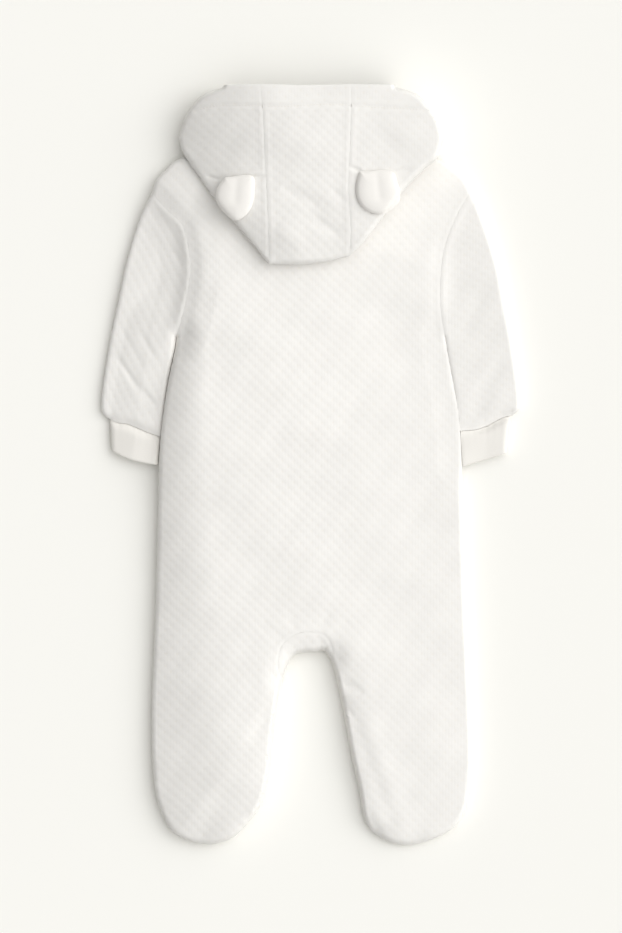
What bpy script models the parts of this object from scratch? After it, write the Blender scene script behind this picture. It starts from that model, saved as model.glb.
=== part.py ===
"""Hooded, footed baby onesie in quilted jersey, laid flat on its front.

The garment lies with its back up.  +X is to the right, +Y points to the hood and +Z is up from
the surface it lies on.  Every piece of cloth is a wall with a plan outline and two heights: an
outer face and an inner face one cloth thickness inside it.  Pattern sizes are in millimetres and
only the finished points are turned into metres.
"""
from collections import namedtuple

import bmesh
import bpy
import numpy as np
from mathutils import Vector
from mathutils.geometry import delaunay_2d_cdt

# ---------------------------------------------------------------- driving sizes, millimetres
MM = 0.001
CLOTH = 2.6                 # thickness of the quilted jersey
CUFF_CLOTH = 2.0            # thickness of the plain jersey cuffs
SEAM_GAP = 0.3              # between two pieces at a seam
LIE_GAP = 0.6               # between a layer and what it lies on
OUTLINE_STEP = 9.5          # spacing of points along a cut edge
LOWER_ROUND = 11.0          # how far in the underside rounds up to the side seam
UPPER_ROUND = 16.0          # how far in the upper side rounds over from the side seam
LIMB_ROUND = 15.0           # the same on a sleeve or cuff

# The quilting: diamonds with their long ways along X and Y
QUILT_WIDE = 14.6
QUILT_TALL = 14.3
QUILT_RELIEF = 1.0          # from a stitched line up to the middle of a diamond
PLAIN_STEP = 36.0           # spacing of inner points on a plain face

# Extra points where the cloth rounds over, as distances in from a fold
UPPER_RINGS = (1.2, 4.6)
LOWER_RINGS = (1.8, 6.5)
CUFF_RINGS = (1.5, 5.5)
GUSSET_RINGS = (1.5, 5.0)
HOOD_UNDER_RINGS = (1.6, 4.4, 8.4)
EAR_RINGS = (1.3, 4.2)
INNER_RINGS = (2.2, 7.0)
RING_MANY = 40              # a longer inner loop has a ring point at each second edge point
CREASE_ROOM = 1.5           # from a cut edge to the first point of a crease
RING_ROOM = 2.6             # from the last ring to the first seed
QUILT_ROOM = 2.6            # from a cut edge to the first point of the quilting
PLAIN_ROOM = 8.0            # from a cut edge to the first inner point of a plain face
EAR_STEP = 5.5
HOOD_OVERLAP = 2.0          # how far the quilting of the back goes on under the hood
NECK_ROOM = 0.45            # between the front neck and the hood's cheek
SLEEVE_SHIFT = (0.35, -0.25)    # outwards and down, which opens the gap along the armhole
MERGE_DISTANCE = 2e-7       # metres
IVORY = (0.87, 0.86, 0.83)
PALE_IVORY = (0.89, 0.87, 0.84)

# Seams lie in a soft valley: share of the height lost and half width
ARMHOLE_DIP = 0.55
ARMHOLE_DIP_WIDTH = 13.0
WRIST_DIP = 0.28
WRIST_DIP_WIDTH = 6.0
ARMHOLE_BLEND = 26.0        # distance over which body height becomes sleeve height

Height = namedtuple("Height", "y side rise")
# Height of the side seam, and of the crown above it, down the body and down a sleeve
BODY_HEIGHTS = (
    Height(280.0, 8.0, 14.0),
    Height(200.0, 8.0, 15.0),
    Height(60.0, 8.0, 15.0),
    Height(-120.0, 8.0, 14.5),
    Height(-220.0, 8.0, 13.0),
    Height(-330.0, 8.0, 11.5),
)
SLEEVE_HEIGHTS = (
    Height(240.0, 8.0, 8.0),
    Height(120.0, 8.0, 7.5),
    Height(60.0, 7.5, 7.5),
    Height(30.0, 6.0, 7.0),
    Height(0.0, 5.0, 6.5),
)
HoodHeight = namedtuple("HoodHeight", "y fold crown")
# Height of the hood's folded edge, and of its upper layer, from the crown fold to the brim
HOOD_HEIGHTS = (
    HoodHeight(174.0, 28.6, 33.4),
    HoodHeight(215.0, 28.0, 34.4),
    HoodHeight(245.0, 27.5, 34.6),
    HoodHeight(257.0, 27.0, 34.6),
    HoodHeight(268.0, 24.5, 34.4),
    HoodHeight(278.0, 18.0, 34.2),
    HoodHeight(286.0, 15.0, 34.0),
    HoodHeight(310.0, 14.0, 33.8),
    HoodHeight(330.0, 14.0, 33.4),
)
HOOD_ROUND = 20.0           # how far in the hood's upper layer rounds over
HOOD_UNDER_ROUND = 9.0      # how far in its lower layer comes down
DRAPE_MARGIN = 5.0          # sideways room of the hood's lower layer round the shoulder
DRAPE_DROP = 5.0            # width of its drop from the shoulder to the surface


def edge(*pairs):
    """A cut or folded edge as an array of plan points, x and y."""
    return np.array(pairs, float)


# ---------------------------------------------------------------- the pattern, x and y
NECK_LEFT = (-72.0, 275.0)
NECK_RIGHT = (71.0, 275.0)
BACK_NECK = edge(NECK_LEFT, (-54.0, 270.6), (-36.0, 268.2), (0.0, 267.0), (36.0, 268.2),
                 (54.0, 270.6), NECK_RIGHT)
FRONT_NECK_LEFT = edge(NECK_LEFT, (-58.0, 263.0), (-34.0, 253.0), (-0.15, 250.0))
FRONT_NECK_RIGHT = edge(NECK_RIGHT, (57.0, 263.0), (34.0, 253.0), (0.15, 250.0))

SHOULDER_LEFT = edge(NECK_LEFT, (-97.0, 273.0), (-117.0, 266.5), (-126.5, 258.0),
                     (-135.0, 248.5), (-138.5, 237.5))
SHOULDER_RIGHT = edge(NECK_RIGHT, (94.0, 273.0), (113.5, 266.5), (123.0, 260.5),
                      (133.0, 251.5), (140.0, 239.0))
ARMHOLE_LEFT = edge((-138.5, 237.5), (-125.0, 223.0), (-111.5, 209.0), (-106.0, 188.0),
                    (-105.0, 165.0), (-110.0, 137.5), (-116.8, 112.5))
ARMHOLE_RIGHT = edge((140.0, 239.0), (131.5, 226.0), (122.0, 206.0), (115.5, 185.0),
                     (113.0, 160.0), (113.5, 135.0), (117.0, 112.5))

Section = namedtuple("Section", "y left right")
# The body's width, from the armpits to the toes
BODY_SECTIONS = (
    Section(112.5, -116.8, 117.0),
    Section(100.0, -118.3, 119.0),
    Section(75.0, -123.6, 123.6),
    Section(45.5, -128.2, 128.6),
    Section(11.5, -131.6, 131.2),
    Section(-55.5, -133.5, 133.0),
    Section(-116.5, -135.0, 135.0),
    Section(-203.5, -138.4, 138.8),
    Section(-238.5, -138.5, 140.0),
    Section(-262.0, -137.6, 140.0),
    Section(-283.0, -135.6, 138.4),
    Section(-302.0, -129.8, 133.6),
    Section(-314.0, -123.6, 125.6),
    Section(-322.0, -115.5, 113.5),
    Section(-328.5, -99.0, 97.0),
)
FOOT_LEFT = edge((-99.0, -328.5), (-84.0, -329.2), (-67.5, -323.5), (-53.5, -309.5),
                 (-42.0, -292.0), (-36.0, -268.5), (-32.5, -235.0), (-28.5, -203.5),
                 (-24.4, -184.0))
FOOT_RIGHT = edge((97.0, -328.5), (84.0, -330.2), (71.0, -328.4), (60.0, -323.0),
                  (51.4, -316.0), (45.8, -304.5), (42.4, -284.0), (35.0, -250.5),
                  (28.5, -214.0), (22.2, -184.0), (17.2, -168.4))
CROTCH = edge((-24.4, -184.0), (-20.8, -174.5), (-15.5, -165.8), (-8.0, -162.8), (4.0, -162.0),
              (11.5, -160.6), (17.2, -168.4))
GUSSET_LEFT = edge((-24.4, -184.0), (-27.6, -178.5), (-28.2, -169.0), (-25.4, -157.0),
                   (-18.0, -149.5), (-10.0, -145.2), (0.0, -144.2))
GUSSET_RIGHT = edge((0.0, -144.2), (8.5, -145.2), (15.0, -150.2), (18.6, -158.5), (17.2, -168.4))

SLEEVE_OUTER_LEFT = edge((-138.5, 237.5), (-144.6, 226.0), (-150.8, 210.5), (-160.5, 177.5),
                         (-167.5, 145.5), (-174.0, 114.0), (-180.0, 78.5), (-182.4, 58.0),
                         (-181.6, 46.5), (-174.8, 40.6))
SLEEVE_INNER_LEFT = edge((-116.8, 112.5), (-119.2, 100.0), (-124.4, 75.0), (-129.0, 45.5),
                         (-131.2, 25.5))
WRIST_LEFT = edge((-174.8, 40.6), (-168.0, 37.8), (-160.0, 36.8), (-150.5, 33.0),
                  (-140.5, 28.8), (-131.2, 25.5))
CUFF_OUTER_LEFT = edge((-174.8, 40.6), (-174.6, 28.0), (-173.8, 14.6))
CUFF_END_LEFT = edge((-173.8, 14.6), (-162.5, 8.5), (-150.5, 4.7), (-133.2, 1.4))
CUFF_INNER_LEFT = edge((-131.2, 25.5), (-132.4, 14.0), (-133.2, 1.4))

SLEEVE_OUTER_RIGHT = edge((140.0, 239.0), (146.2, 226.0), (156.0, 199.0), (164.0, 171.5),
                          (169.5, 142.0), (175.5, 110.0), (180.3, 78.5), (182.4, 58.0),
                          (181.4, 48.5), (174.6, 43.8))
SLEEVE_INNER_RIGHT = edge((117.0, 112.5), (119.8, 100.0), (124.4, 75.0), (129.4, 45.5),
                          (131.0, 30.5))
WRIST_RIGHT = edge((174.6, 43.8), (168.5, 42.6), (161.5, 39.2), (154.0, 35.2), (145.0, 32.0),
                   (138.0, 31.2), (131.0, 30.5))
CUFF_OUTER_RIGHT = edge((174.6, 43.8), (172.4, 28.0), (171.2, 12.2))
CUFF_END_RIGHT = edge((171.2, 12.2), (161.5, 9.4), (147.0, 5.0), (132.8, 0.4))
CUFF_INNER_RIGHT = edge((131.0, 30.5), (132.0, 15.0), (132.8, 0.4))

# The hood: its folded outline, from the brim down to the crown, and its seams
HOOD_FOLD_LEFT = edge((-76.5, 329.6), (-93.0, 323.2), (-102.5, 314.0), (-110.0, 302.5),
                      (-115.4, 286.0))
HOOD_SLANT_LEFT = edge((-115.4, 286.0), (-112.6, 275.5), (-106.5, 265.5), (-83.0, 231.5),
                       (-53.0, 196.0), (-36.2, 175.2))
HOOD_CROWN = edge((-36.2, 175.2), (-10.0, 174.8), (13.0, 177.2), (33.6, 182.4))
HOOD_SLANT_RIGHT = edge((33.6, 182.4), (42.0, 190.0), (51.5, 201.0), (77.0, 235.0),
                        (98.5, 257.5), (110.0, 267.5), (115.8, 284.0))
HOOD_FOLD_RIGHT = edge((115.8, 284.0), (111.5, 300.0), (104.5, 311.0), (92.0, 323.4),
                       (73.5, 329.6))
HOOD_BRIM_LEFT = edge((-76.5, 329.6), (-43.5, 330.0))
BRIM_MIDDLE = (-4.0, 329.2)
HOOD_BRIM_RIGHT = edge((35.5, 330.0), (73.5, 329.6))
HOOD_SEAM_LEFT = edge((-43.5, 330.0), (-41.0, 298.5), (-39.0, 255.0), (-37.0, 214.0),
                      (-36.2, 175.2))
HOOD_SEAM_RIGHT = edge((35.5, 330.0), (34.6, 290.0), (33.0, 240.0), (34.8, 206.0), (33.6, 182.4))
NAPE_SEAM_LEFT = edge((-36.2, 175.2), (-36.0, 220.0), (-36.0, 267.9))
NAPE_SEAM_RIGHT = edge((33.6, 182.4), (35.0, 225.0), (36.0, 267.9))
NAPE_LEFT = edge((-36.0, 267.9), (-54.0, 270.3), (-72.4, 275.2))
NAPE_RIGHT = edge((36.0, 267.9), (54.0, 270.3), (71.4, 275.2))
NAPE_CORNER_LEFT = edge((-72.4, 275.2), (-76.0, 288.0))
NAPE_CORNER_RIGHT = edge((71.4, 275.2), (75.0, 288.0))
NAPE_MIDDLE = edge((-35.7, 267.9), (0.0, 266.7), (35.7, 267.9))
CHEEK_FOLD_LEFT = edge((-76.0, 288.0), (-96.0, 289.5), (-115.4, 286.0))
CHEEK_FOLD_RIGHT = edge((75.0, 288.0), (95.0, 289.0), (115.8, 284.0))
CHEEK_BRIM_LEFT = edge((-76.5, 329.6), (-56.0, 325.0), (-30.0, 321.0), (-0.15, 319.0))
CHEEK_BRIM_RIGHT = edge((73.5, 329.6), (54.0, 325.0), (30.0, 321.0), (0.15, 319.0))

# The ears: outline from the root, round the tip and back
EAR_LEFT = edge((-79.0, 248.6), (-82.6, 238.0), (-80.5, 228.0), (-74.0, 219.6), (-64.5, 214.2),
                (-56.0, 218.5), (-50.8, 227.0), (-49.6, 237.0), (-53.0, 250.6))
EAR_RIGHT = edge((43.0, 254.6), (40.4, 244.0), (40.6, 234.0), (44.5, 226.0), (51.5, 220.8),
                 (60.0, 219.2), (68.5, 222.0), (75.4, 229.0), (77.0, 236.5), (74.5, 245.0),
                 (69.0, 254.8))
EAR_LIFT = 0.85             # room for the quilting under an ear
EAR_RIM = 1.7               # thickness at an ear's edge
EAR_RISE = 3.6              # how much thicker an ear is in its middle
EAR_ROUND = 9.0
EAR_PINCH = 2.2             # depth of the pleat pinched into its root
EAR_PINCH_WIDTH = 2.6
EAR_PINCH_LEFT = edge((-63.5, 251.0), (-65.5, 231.0))
EAR_PINCH_RIGHT = edge((57.0, 256.0), (60.0, 233.0))

Fold = namedtuple("Fold", "x0 y0 x1 y1 depth width")
# The largest folds in the cloth: a trough from one end to the other
FOLDS = (
    Fold(-171.0, 96.0, -136.0, 54.0, 1.3, 4.5),
    Fold(-158.0, 78.0, -139.0, 50.0, 0.9, 3.5),
    Fold(-150.0, 118.0, -136.0, 94.0, 0.8, 4.0),
    Fold(168.0, 92.0, 138.0, 52.0, 1.0, 5.0),
    Fold(160.0, 64.0, 140.0, 44.0, 0.8, 4.0),
    Fold(32.0, -206.0, 72.0, -312.0, 1.3, 8.0),
    Fold(48.0, -302.0, 63.0, -322.0, 1.3, 5.0),
    Fold(-60.0, -300.0, -46.0, -314.0, 1.2, 5.0),
    Fold(30.0, -204.0, 44.0, -222.0, 1.0, 4.0),
    Fold(26.0, -186.0, 46.0, -198.0, 0.9, 5.0),
    Fold(-24.0, -150.0, -44.0, -138.0, 0.9, 5.0),
    Fold(18.0, -148.0, 34.0, -134.0, 0.8, 5.0),
    Fold(-120.0, 100.0, -92.0, 84.0, 1.2, 7.0),
    Fold(120.0, 100.0, 94.0, 82.0, 1.0, 7.0),
)
SLEEVE_GRAIN_LEFT = -18.0   # degrees that the quilting turns with each sleeve
SLEEVE_GRAIN_RIGHT = 11.0


# ---------------------------------------------------------------- plan geometry
def smooth_line(points, step=OUTLINE_STEP):
    """A Catmull-Rom curve through the points, read at an even spacing near step."""
    before = 2.0 * points[0] - points[1]
    after = 2.0 * points[-1] - points[-2]
    ctrl = np.vstack([before, points, after])
    t = np.linspace(0.0, 1.0, 24, endpoint=False)[:, None]
    runs = []
    for i in range(len(points) - 1):
        a, b, c, d = ctrl[i:i + 4]
        runs.append(0.5 * (2.0 * b + (c - a) * t + (2.0 * a - 5.0 * b + 4.0 * c - d) * t ** 2
                           + (3.0 * b - a - 3.0 * c + d) * t ** 3))
    dense = np.vstack(runs + [points[-1:]])
    length = np.concatenate([[0.0], np.cumsum(np.hypot(*np.diff(dense, axis=0).T))])
    count = max(2, int(round(length[-1] / step)) + 1)
    even = np.linspace(0.0, length[-1], count)
    return np.column_stack([np.interp(even, length, dense[:, k]) for k in (0, 1)])


def distance(points, *lines):
    """Distance from each point to the nearest of the lines."""
    best = np.full(len(points), np.inf)
    for line in lines:
        start, run = line[:-1], np.diff(line, axis=0)
        away = points[:, None, :] - start[None]
        share = np.clip((away * run).sum(2) / (run ** 2).sum(1), 0.0, 1.0)
        gap = away - share[..., None] * run
        best = np.minimum(best, np.sqrt((gap ** 2).sum(2)).min(1))
    return best


def inside(points, loop):
    """Which points lie inside a closed outline, by counting crossings to its right."""
    a, b = loop, np.roll(loop, -1, axis=0)
    x, y = points[:, :1], points[:, 1:]
    spans = (a[:, 1] > y) != (b[:, 1] > y)
    rise = np.where(a[:, 1] == b[:, 1], 1.0, b[:, 1] - a[:, 1])
    cross = a[:, 0] + (y - a[:, 1]) * (b[:, 0] - a[:, 0]) / rise
    return (spans & (x < cross)).sum(1) % 2 == 1


CUT, FOLD, JOIN = "cut", "fold", "join"     # upright edge; rounded edge; edge shared by layers
Outline = namedtuple("Outline", "loop folded runs")


def outline(*lines):
    """A closed outline from pairs of kind and line, each line turned end for end if needed.

    loop holds its points, folded tells which lie on a fold, and runs gives each line's kind and
    the places of its points in the loop.
    """
    (_, first), (_, second) = lines[:2]
    ends = second[[0, -1]]
    here = first[-1] if np.isclose(ends, first[-1]).all(1).any() else first[0]
    loop, runs, start = [], [], 0
    for number, (kind, line) in enumerate(lines):
        if number == 0:
            line = line if np.allclose(line[-1], here) else line[::-1]
        elif not np.allclose(line[0], here):
            line = line[::-1]
        here = line[-1]
        loop.append(line[:-1])
        runs.append((kind, np.arange(start, start + len(line))))
        start += len(line) - 1
    folded = np.zeros(start, bool)
    runs = [(kind, places % start) for kind, places in runs]
    for kind, places in runs:
        folded[places] |= kind == FOLD
    return Outline(np.vstack(loop), folded, runs)


def round_over(depth, radius):
    """Quarter-ellipse rise: 0 at an edge, 1 from radius inwards."""
    share = np.clip(depth / radius, 0.0, 1.0)
    return np.sqrt(np.clip(1.0 - (1.0 - share) ** 2, 0.0, 1.0))


def read(table, column, y):
    """A column of a height table, read between its rows."""
    rows = sorted(table)
    return np.interp(y, [row.y for row in rows], [getattr(row, column) for row in rows])


# ---------------------------------------------------------------- edges at working spacing
LEFT, RIGHT = -1, 1
SHOULDERS = {LEFT: smooth_line(SHOULDER_LEFT), RIGHT: smooth_line(SHOULDER_RIGHT)}
ARMHOLES = {LEFT: smooth_line(ARMHOLE_LEFT), RIGHT: smooth_line(ARMHOLE_RIGHT)}
SIDES = {
    LEFT: smooth_line(np.array([(row.left, row.y) for row in BODY_SECTIONS])),
    RIGHT: smooth_line(np.array([(row.right, row.y) for row in BODY_SECTIONS])),
}
FEET = {LEFT: smooth_line(FOOT_LEFT), RIGHT: smooth_line(FOOT_RIGHT)}
OUTER_SLEEVES = {LEFT: smooth_line(SLEEVE_OUTER_LEFT), RIGHT: smooth_line(SLEEVE_OUTER_RIGHT)}
INNER_SLEEVES = {LEFT: smooth_line(SLEEVE_INNER_LEFT), RIGHT: smooth_line(SLEEVE_INNER_RIGHT)}
WRISTS = {LEFT: smooth_line(WRIST_LEFT), RIGHT: smooth_line(WRIST_RIGHT)}
OUTER_CUFFS = {LEFT: smooth_line(CUFF_OUTER_LEFT), RIGHT: smooth_line(CUFF_OUTER_RIGHT)}
INNER_CUFFS = {LEFT: smooth_line(CUFF_INNER_LEFT), RIGHT: smooth_line(CUFF_INNER_RIGHT)}
CUFF_ENDS = {LEFT: smooth_line(CUFF_END_LEFT), RIGHT: smooth_line(CUFF_END_RIGHT)}
GUSSET_SEAMS = {LEFT: smooth_line(GUSSET_LEFT, 6.0), RIGHT: smooth_line(GUSSET_RIGHT, 6.0)}
FRONT_NECKS = {LEFT: smooth_line(FRONT_NECK_LEFT), RIGHT: smooth_line(FRONT_NECK_RIGHT)}
CROTCH_LINE = smooth_line(CROTCH, 6.0)
NECK_LINE = smooth_line(BACK_NECK)
HOOD_FOLDS = {LEFT: smooth_line(HOOD_FOLD_LEFT), RIGHT: smooth_line(HOOD_FOLD_RIGHT)}
HOOD_SLANTS = {LEFT: smooth_line(HOOD_SLANT_LEFT), RIGHT: smooth_line(HOOD_SLANT_RIGHT)}
CROWN_LINE = smooth_line(HOOD_CROWN)
HOOD_LINES = [*HOOD_FOLDS.values(), *HOOD_SLANTS.values(), CROWN_LINE]
BRIM_LINE = np.vstack([HOOD_FOLDS[LEFT][:1], HOOD_FOLDS[RIGHT][-1:]])

SILHOUETTE = [line for pair in (SHOULDERS, SIDES, FEET, OUTER_SLEEVES, INNER_SLEEVES, OUTER_CUFFS,
                                INNER_CUFFS) for line in pair.values()] + [CROTCH_LINE]
BACK_OUTLINE = outline(
    (CUT, NECK_LINE), (FOLD, SHOULDERS[RIGHT]), (CUT, ARMHOLES[RIGHT]), (FOLD, SIDES[RIGHT]),
    (FOLD, FEET[RIGHT]), (CUT, GUSSET_SEAMS[RIGHT]), (CUT, GUSSET_SEAMS[LEFT]),
    (FOLD, FEET[LEFT]), (FOLD, SIDES[LEFT]), (CUT, ARMHOLES[LEFT]), (FOLD, SHOULDERS[LEFT]))
HOOD_CHAIN = np.vstack([HOOD_FOLDS[LEFT][:-1], HOOD_SLANTS[LEFT][:-1], CROWN_LINE[:-1],
                        HOOD_SLANTS[RIGHT][:-1], HOOD_FOLDS[RIGHT]])
HOOD_LOOP = outline((FOLD, HOOD_FOLDS[LEFT]), (FOLD, HOOD_SLANTS[LEFT]), (FOLD, CROWN_LINE),
                    (FOLD, HOOD_SLANTS[RIGHT]), (FOLD, HOOD_FOLDS[RIGHT]), (CUT, BRIM_LINE)).loop


# ---------------------------------------------------------------- heights of the cloth
def fold_depth(points, spread=1.0):
    """How far the listed folds sink the cloth at each point."""
    depth = np.zeros(len(points))
    for fold in FOLDS:
        line = np.array([(fold.x0, fold.y0), (fold.x1, fold.y1)])
        across = distance(points, line) / (fold.width * spread)
        depth = np.maximum(depth, fold.depth * np.exp(-across ** 2))
    return depth


def body_share(points, is_body):
    """1 on the body, 0 on a sleeve, and half way between at the armhole seam."""
    lean = np.clip(distance(points, *ARMHOLES.values()) / ARMHOLE_BLEND, 0.0, 1.0)
    return 0.5 + 0.5 * lean * (1.0 if is_body else -1.0)


def crown(points, is_body):
    """Side seam height and crown rise, with the dips along armhole and wrist seams."""
    share, y = body_share(points, is_body), points[:, 1]
    side = share * read(BODY_HEIGHTS, "side", y) + (1 - share) * read(SLEEVE_HEIGHTS, "side", y)
    rise = share * read(BODY_HEIGHTS, "rise", y) + (1 - share) * read(SLEEVE_HEIGHTS, "rise", y)
    armhole = distance(points, *ARMHOLES.values()) / ARMHOLE_DIP_WIDTH
    wrist = distance(points, *WRISTS.values()) / WRIST_DIP_WIDTH
    dip = ARMHOLE_DIP * np.exp(-armhole ** 2)
    if not is_body:
        dip = np.maximum(dip, WRIST_DIP * np.exp(-wrist ** 2))
    return side, rise * (1.0 - dip)


def upper(points, is_body=True, inner=0.0, lift=0.0):
    """The upper layer: from the side seam it rounds over to the crown."""
    side, rise = crown(points, is_body)
    depth = distance(points, *SILHOUETTE) - inner
    radius = (UPPER_ROUND if is_body else LIMB_ROUND) - inner
    sink = fold_depth(points, 1.6 if inner else 1.0) * round_over(depth, radius)
    return side + lift + (rise - inner) * round_over(depth, radius) - sink


def lower(points, is_body=True, inner=0.0, lift=0.0):
    """The lower layer: flat on the surface, rounding up to the side seam."""
    side, _ = crown(points, is_body)
    depth = distance(points, *SILHOUETTE) - inner
    return inner + (side + lift - inner) * (1.0 - round_over(depth, LOWER_ROUND - inner))


def hood_depth(points):
    """Distance from the hood's folded outline."""
    return distance(points, *HOOD_LINES)


def hood_upper(points, inner=0.0):
    """The hood's upper layer, rounding over from the folded edge to its crown."""
    fold, top = (read(HOOD_HEIGHTS, column, points[:, 1]) for column in ("fold", "crown"))
    depth = hood_depth(points) - inner
    return fold + (top - fold - inner) * round_over(depth, HOOD_ROUND - inner)


def shoulder_rest(points, inner=0.0):
    """What the hood's lower layer lies on: the back, then down over the shoulder edge."""
    side, rise = crown(points, True)
    depth = distance(points, *SHOULDERS.values(), *SIDES.values(), *OUTER_SLEEVES.values())
    depth = np.where(inside(points, BACK_OUTLINE.loop), depth, -depth) + DRAPE_MARGIN + inner
    over = side + LIE_GAP + rise * round_over(depth, UPPER_ROUND)
    return over * (1.0 - round_over(-depth, DRAPE_DROP))


def hood_under(points, inner=0.0):
    """The hood's lower layer on the back, down from the folded edge."""
    fold = read(HOOD_HEIGHTS, "fold", points[:, 1])
    rest = shoulder_rest(points, inner) + inner
    depth = hood_depth(points) - inner
    return fold - (fold - rest) * round_over(depth, HOOD_UNDER_ROUND - inner)


def shoulder_drape(side, inner):
    """Plan points where the lower layer leaves the shoulder and where it meets the surface."""
    line = SHOULDERS[side]
    along = np.gradient(line, axis=0)
    along /= np.hypot(*along.T)[:, None]
    outward = side * np.column_stack([-along[:, 1], along[:, 0]])
    start = DRAPE_MARGIN + inner
    return np.vstack([line + outward * start, line + outward * (start + DRAPE_DROP)])


def hood_cheek(points, inner=0.0):
    """The hood's lower layer past the shoulders, flat on the surface."""
    fold = read(HOOD_HEIGHTS, "fold", points[:, 1])
    depth = hood_depth(points) - inner
    return fold - (fold - inner) * round_over(depth, HOOD_UNDER_ROUND - inner)


# ---------------------------------------------------------------- cloth walls
def closed(loop):
    """The loop with its first point again at the end."""
    return np.vstack([loop, loop[:1]])


def inset(loop, by):
    """The loop moved inwards: by is one distance for each of its points."""
    ahead, behind = np.roll(loop, -1, axis=0) - loop, loop - np.roll(loop, 1, axis=0)
    along = ahead / np.hypot(*ahead.T)[:, None] + behind / np.hypot(*behind.T)[:, None]
    along /= np.maximum(np.hypot(*along.T), 0.3)[:, None]
    following = np.roll(loop, -1, axis=0)
    area = np.sum(loop[:, 0] * following[:, 1] - loop[:, 1] * following[:, 0])
    inward = np.column_stack([-along[:, 1], along[:, 0]]) * np.sign(area)
    return loop + inward * np.asarray(by)[:, None]


def lattice(loop, wide, tall, turn=0.0):
    """A grid over the loop whose points are, in turn, corners and middles of diamonds.

    Gives the points, which of them are corners, and the grid's shape.
    """
    angle = np.radians(turn)
    axes = np.array([[np.cos(angle), np.sin(angle)], [-np.sin(angle), np.cos(angle)]])
    half = np.array([wide, tall]) / 2.0
    cells = (loop @ axes.T) / half
    low, high = np.floor(cells.min(0)).astype(int), np.ceil(cells.max(0)).astype(int)
    low -= low % 2
    i, j = np.meshgrid(np.arange(low[0], high[0] + 1), np.arange(low[1], high[1] + 1),
                       indexing="ij")
    points = (np.column_stack([i.ravel(), j.ravel()]) * half) @ axes
    return points, (i + j).ravel() % 2 == 0, i.shape


def stitched_lines(shape, kept):
    """Pairs of neighbouring diamond corners, both kept, as places in the grid."""
    rows, columns = shape
    place = np.arange(rows * columns).reshape(shape)
    even = np.add.outer(np.arange(rows - 1), np.arange(columns - 1)) % 2 == 0
    rising = np.column_stack([place[:-1, :-1][even], place[1:, 1:][even]])
    falling = np.column_stack([place[1:, :-1][~even], place[:-1, 1:][~even]])
    pairs = np.vstack([rising, falling])
    return pairs[kept[pairs].all(1)]


def triangulate(loop, seeds, lines):
    """Triangles over a loop and the seeds inside it, keeping the lines between seeds."""
    points = np.vstack([loop, seeds])
    ring = list(range(len(loop)))
    kept_lines = [(int(a) + len(loop), int(b) + len(loop)) for a, b in lines]
    result = delaunay_2d_cdt([Vector(p) for p in points], kept_lines, [ring], 1, 1e-7)
    source = [places[0] for places in result[3]]
    return points, np.array([[source[corner] for corner in face] for face in result[2]])


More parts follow.
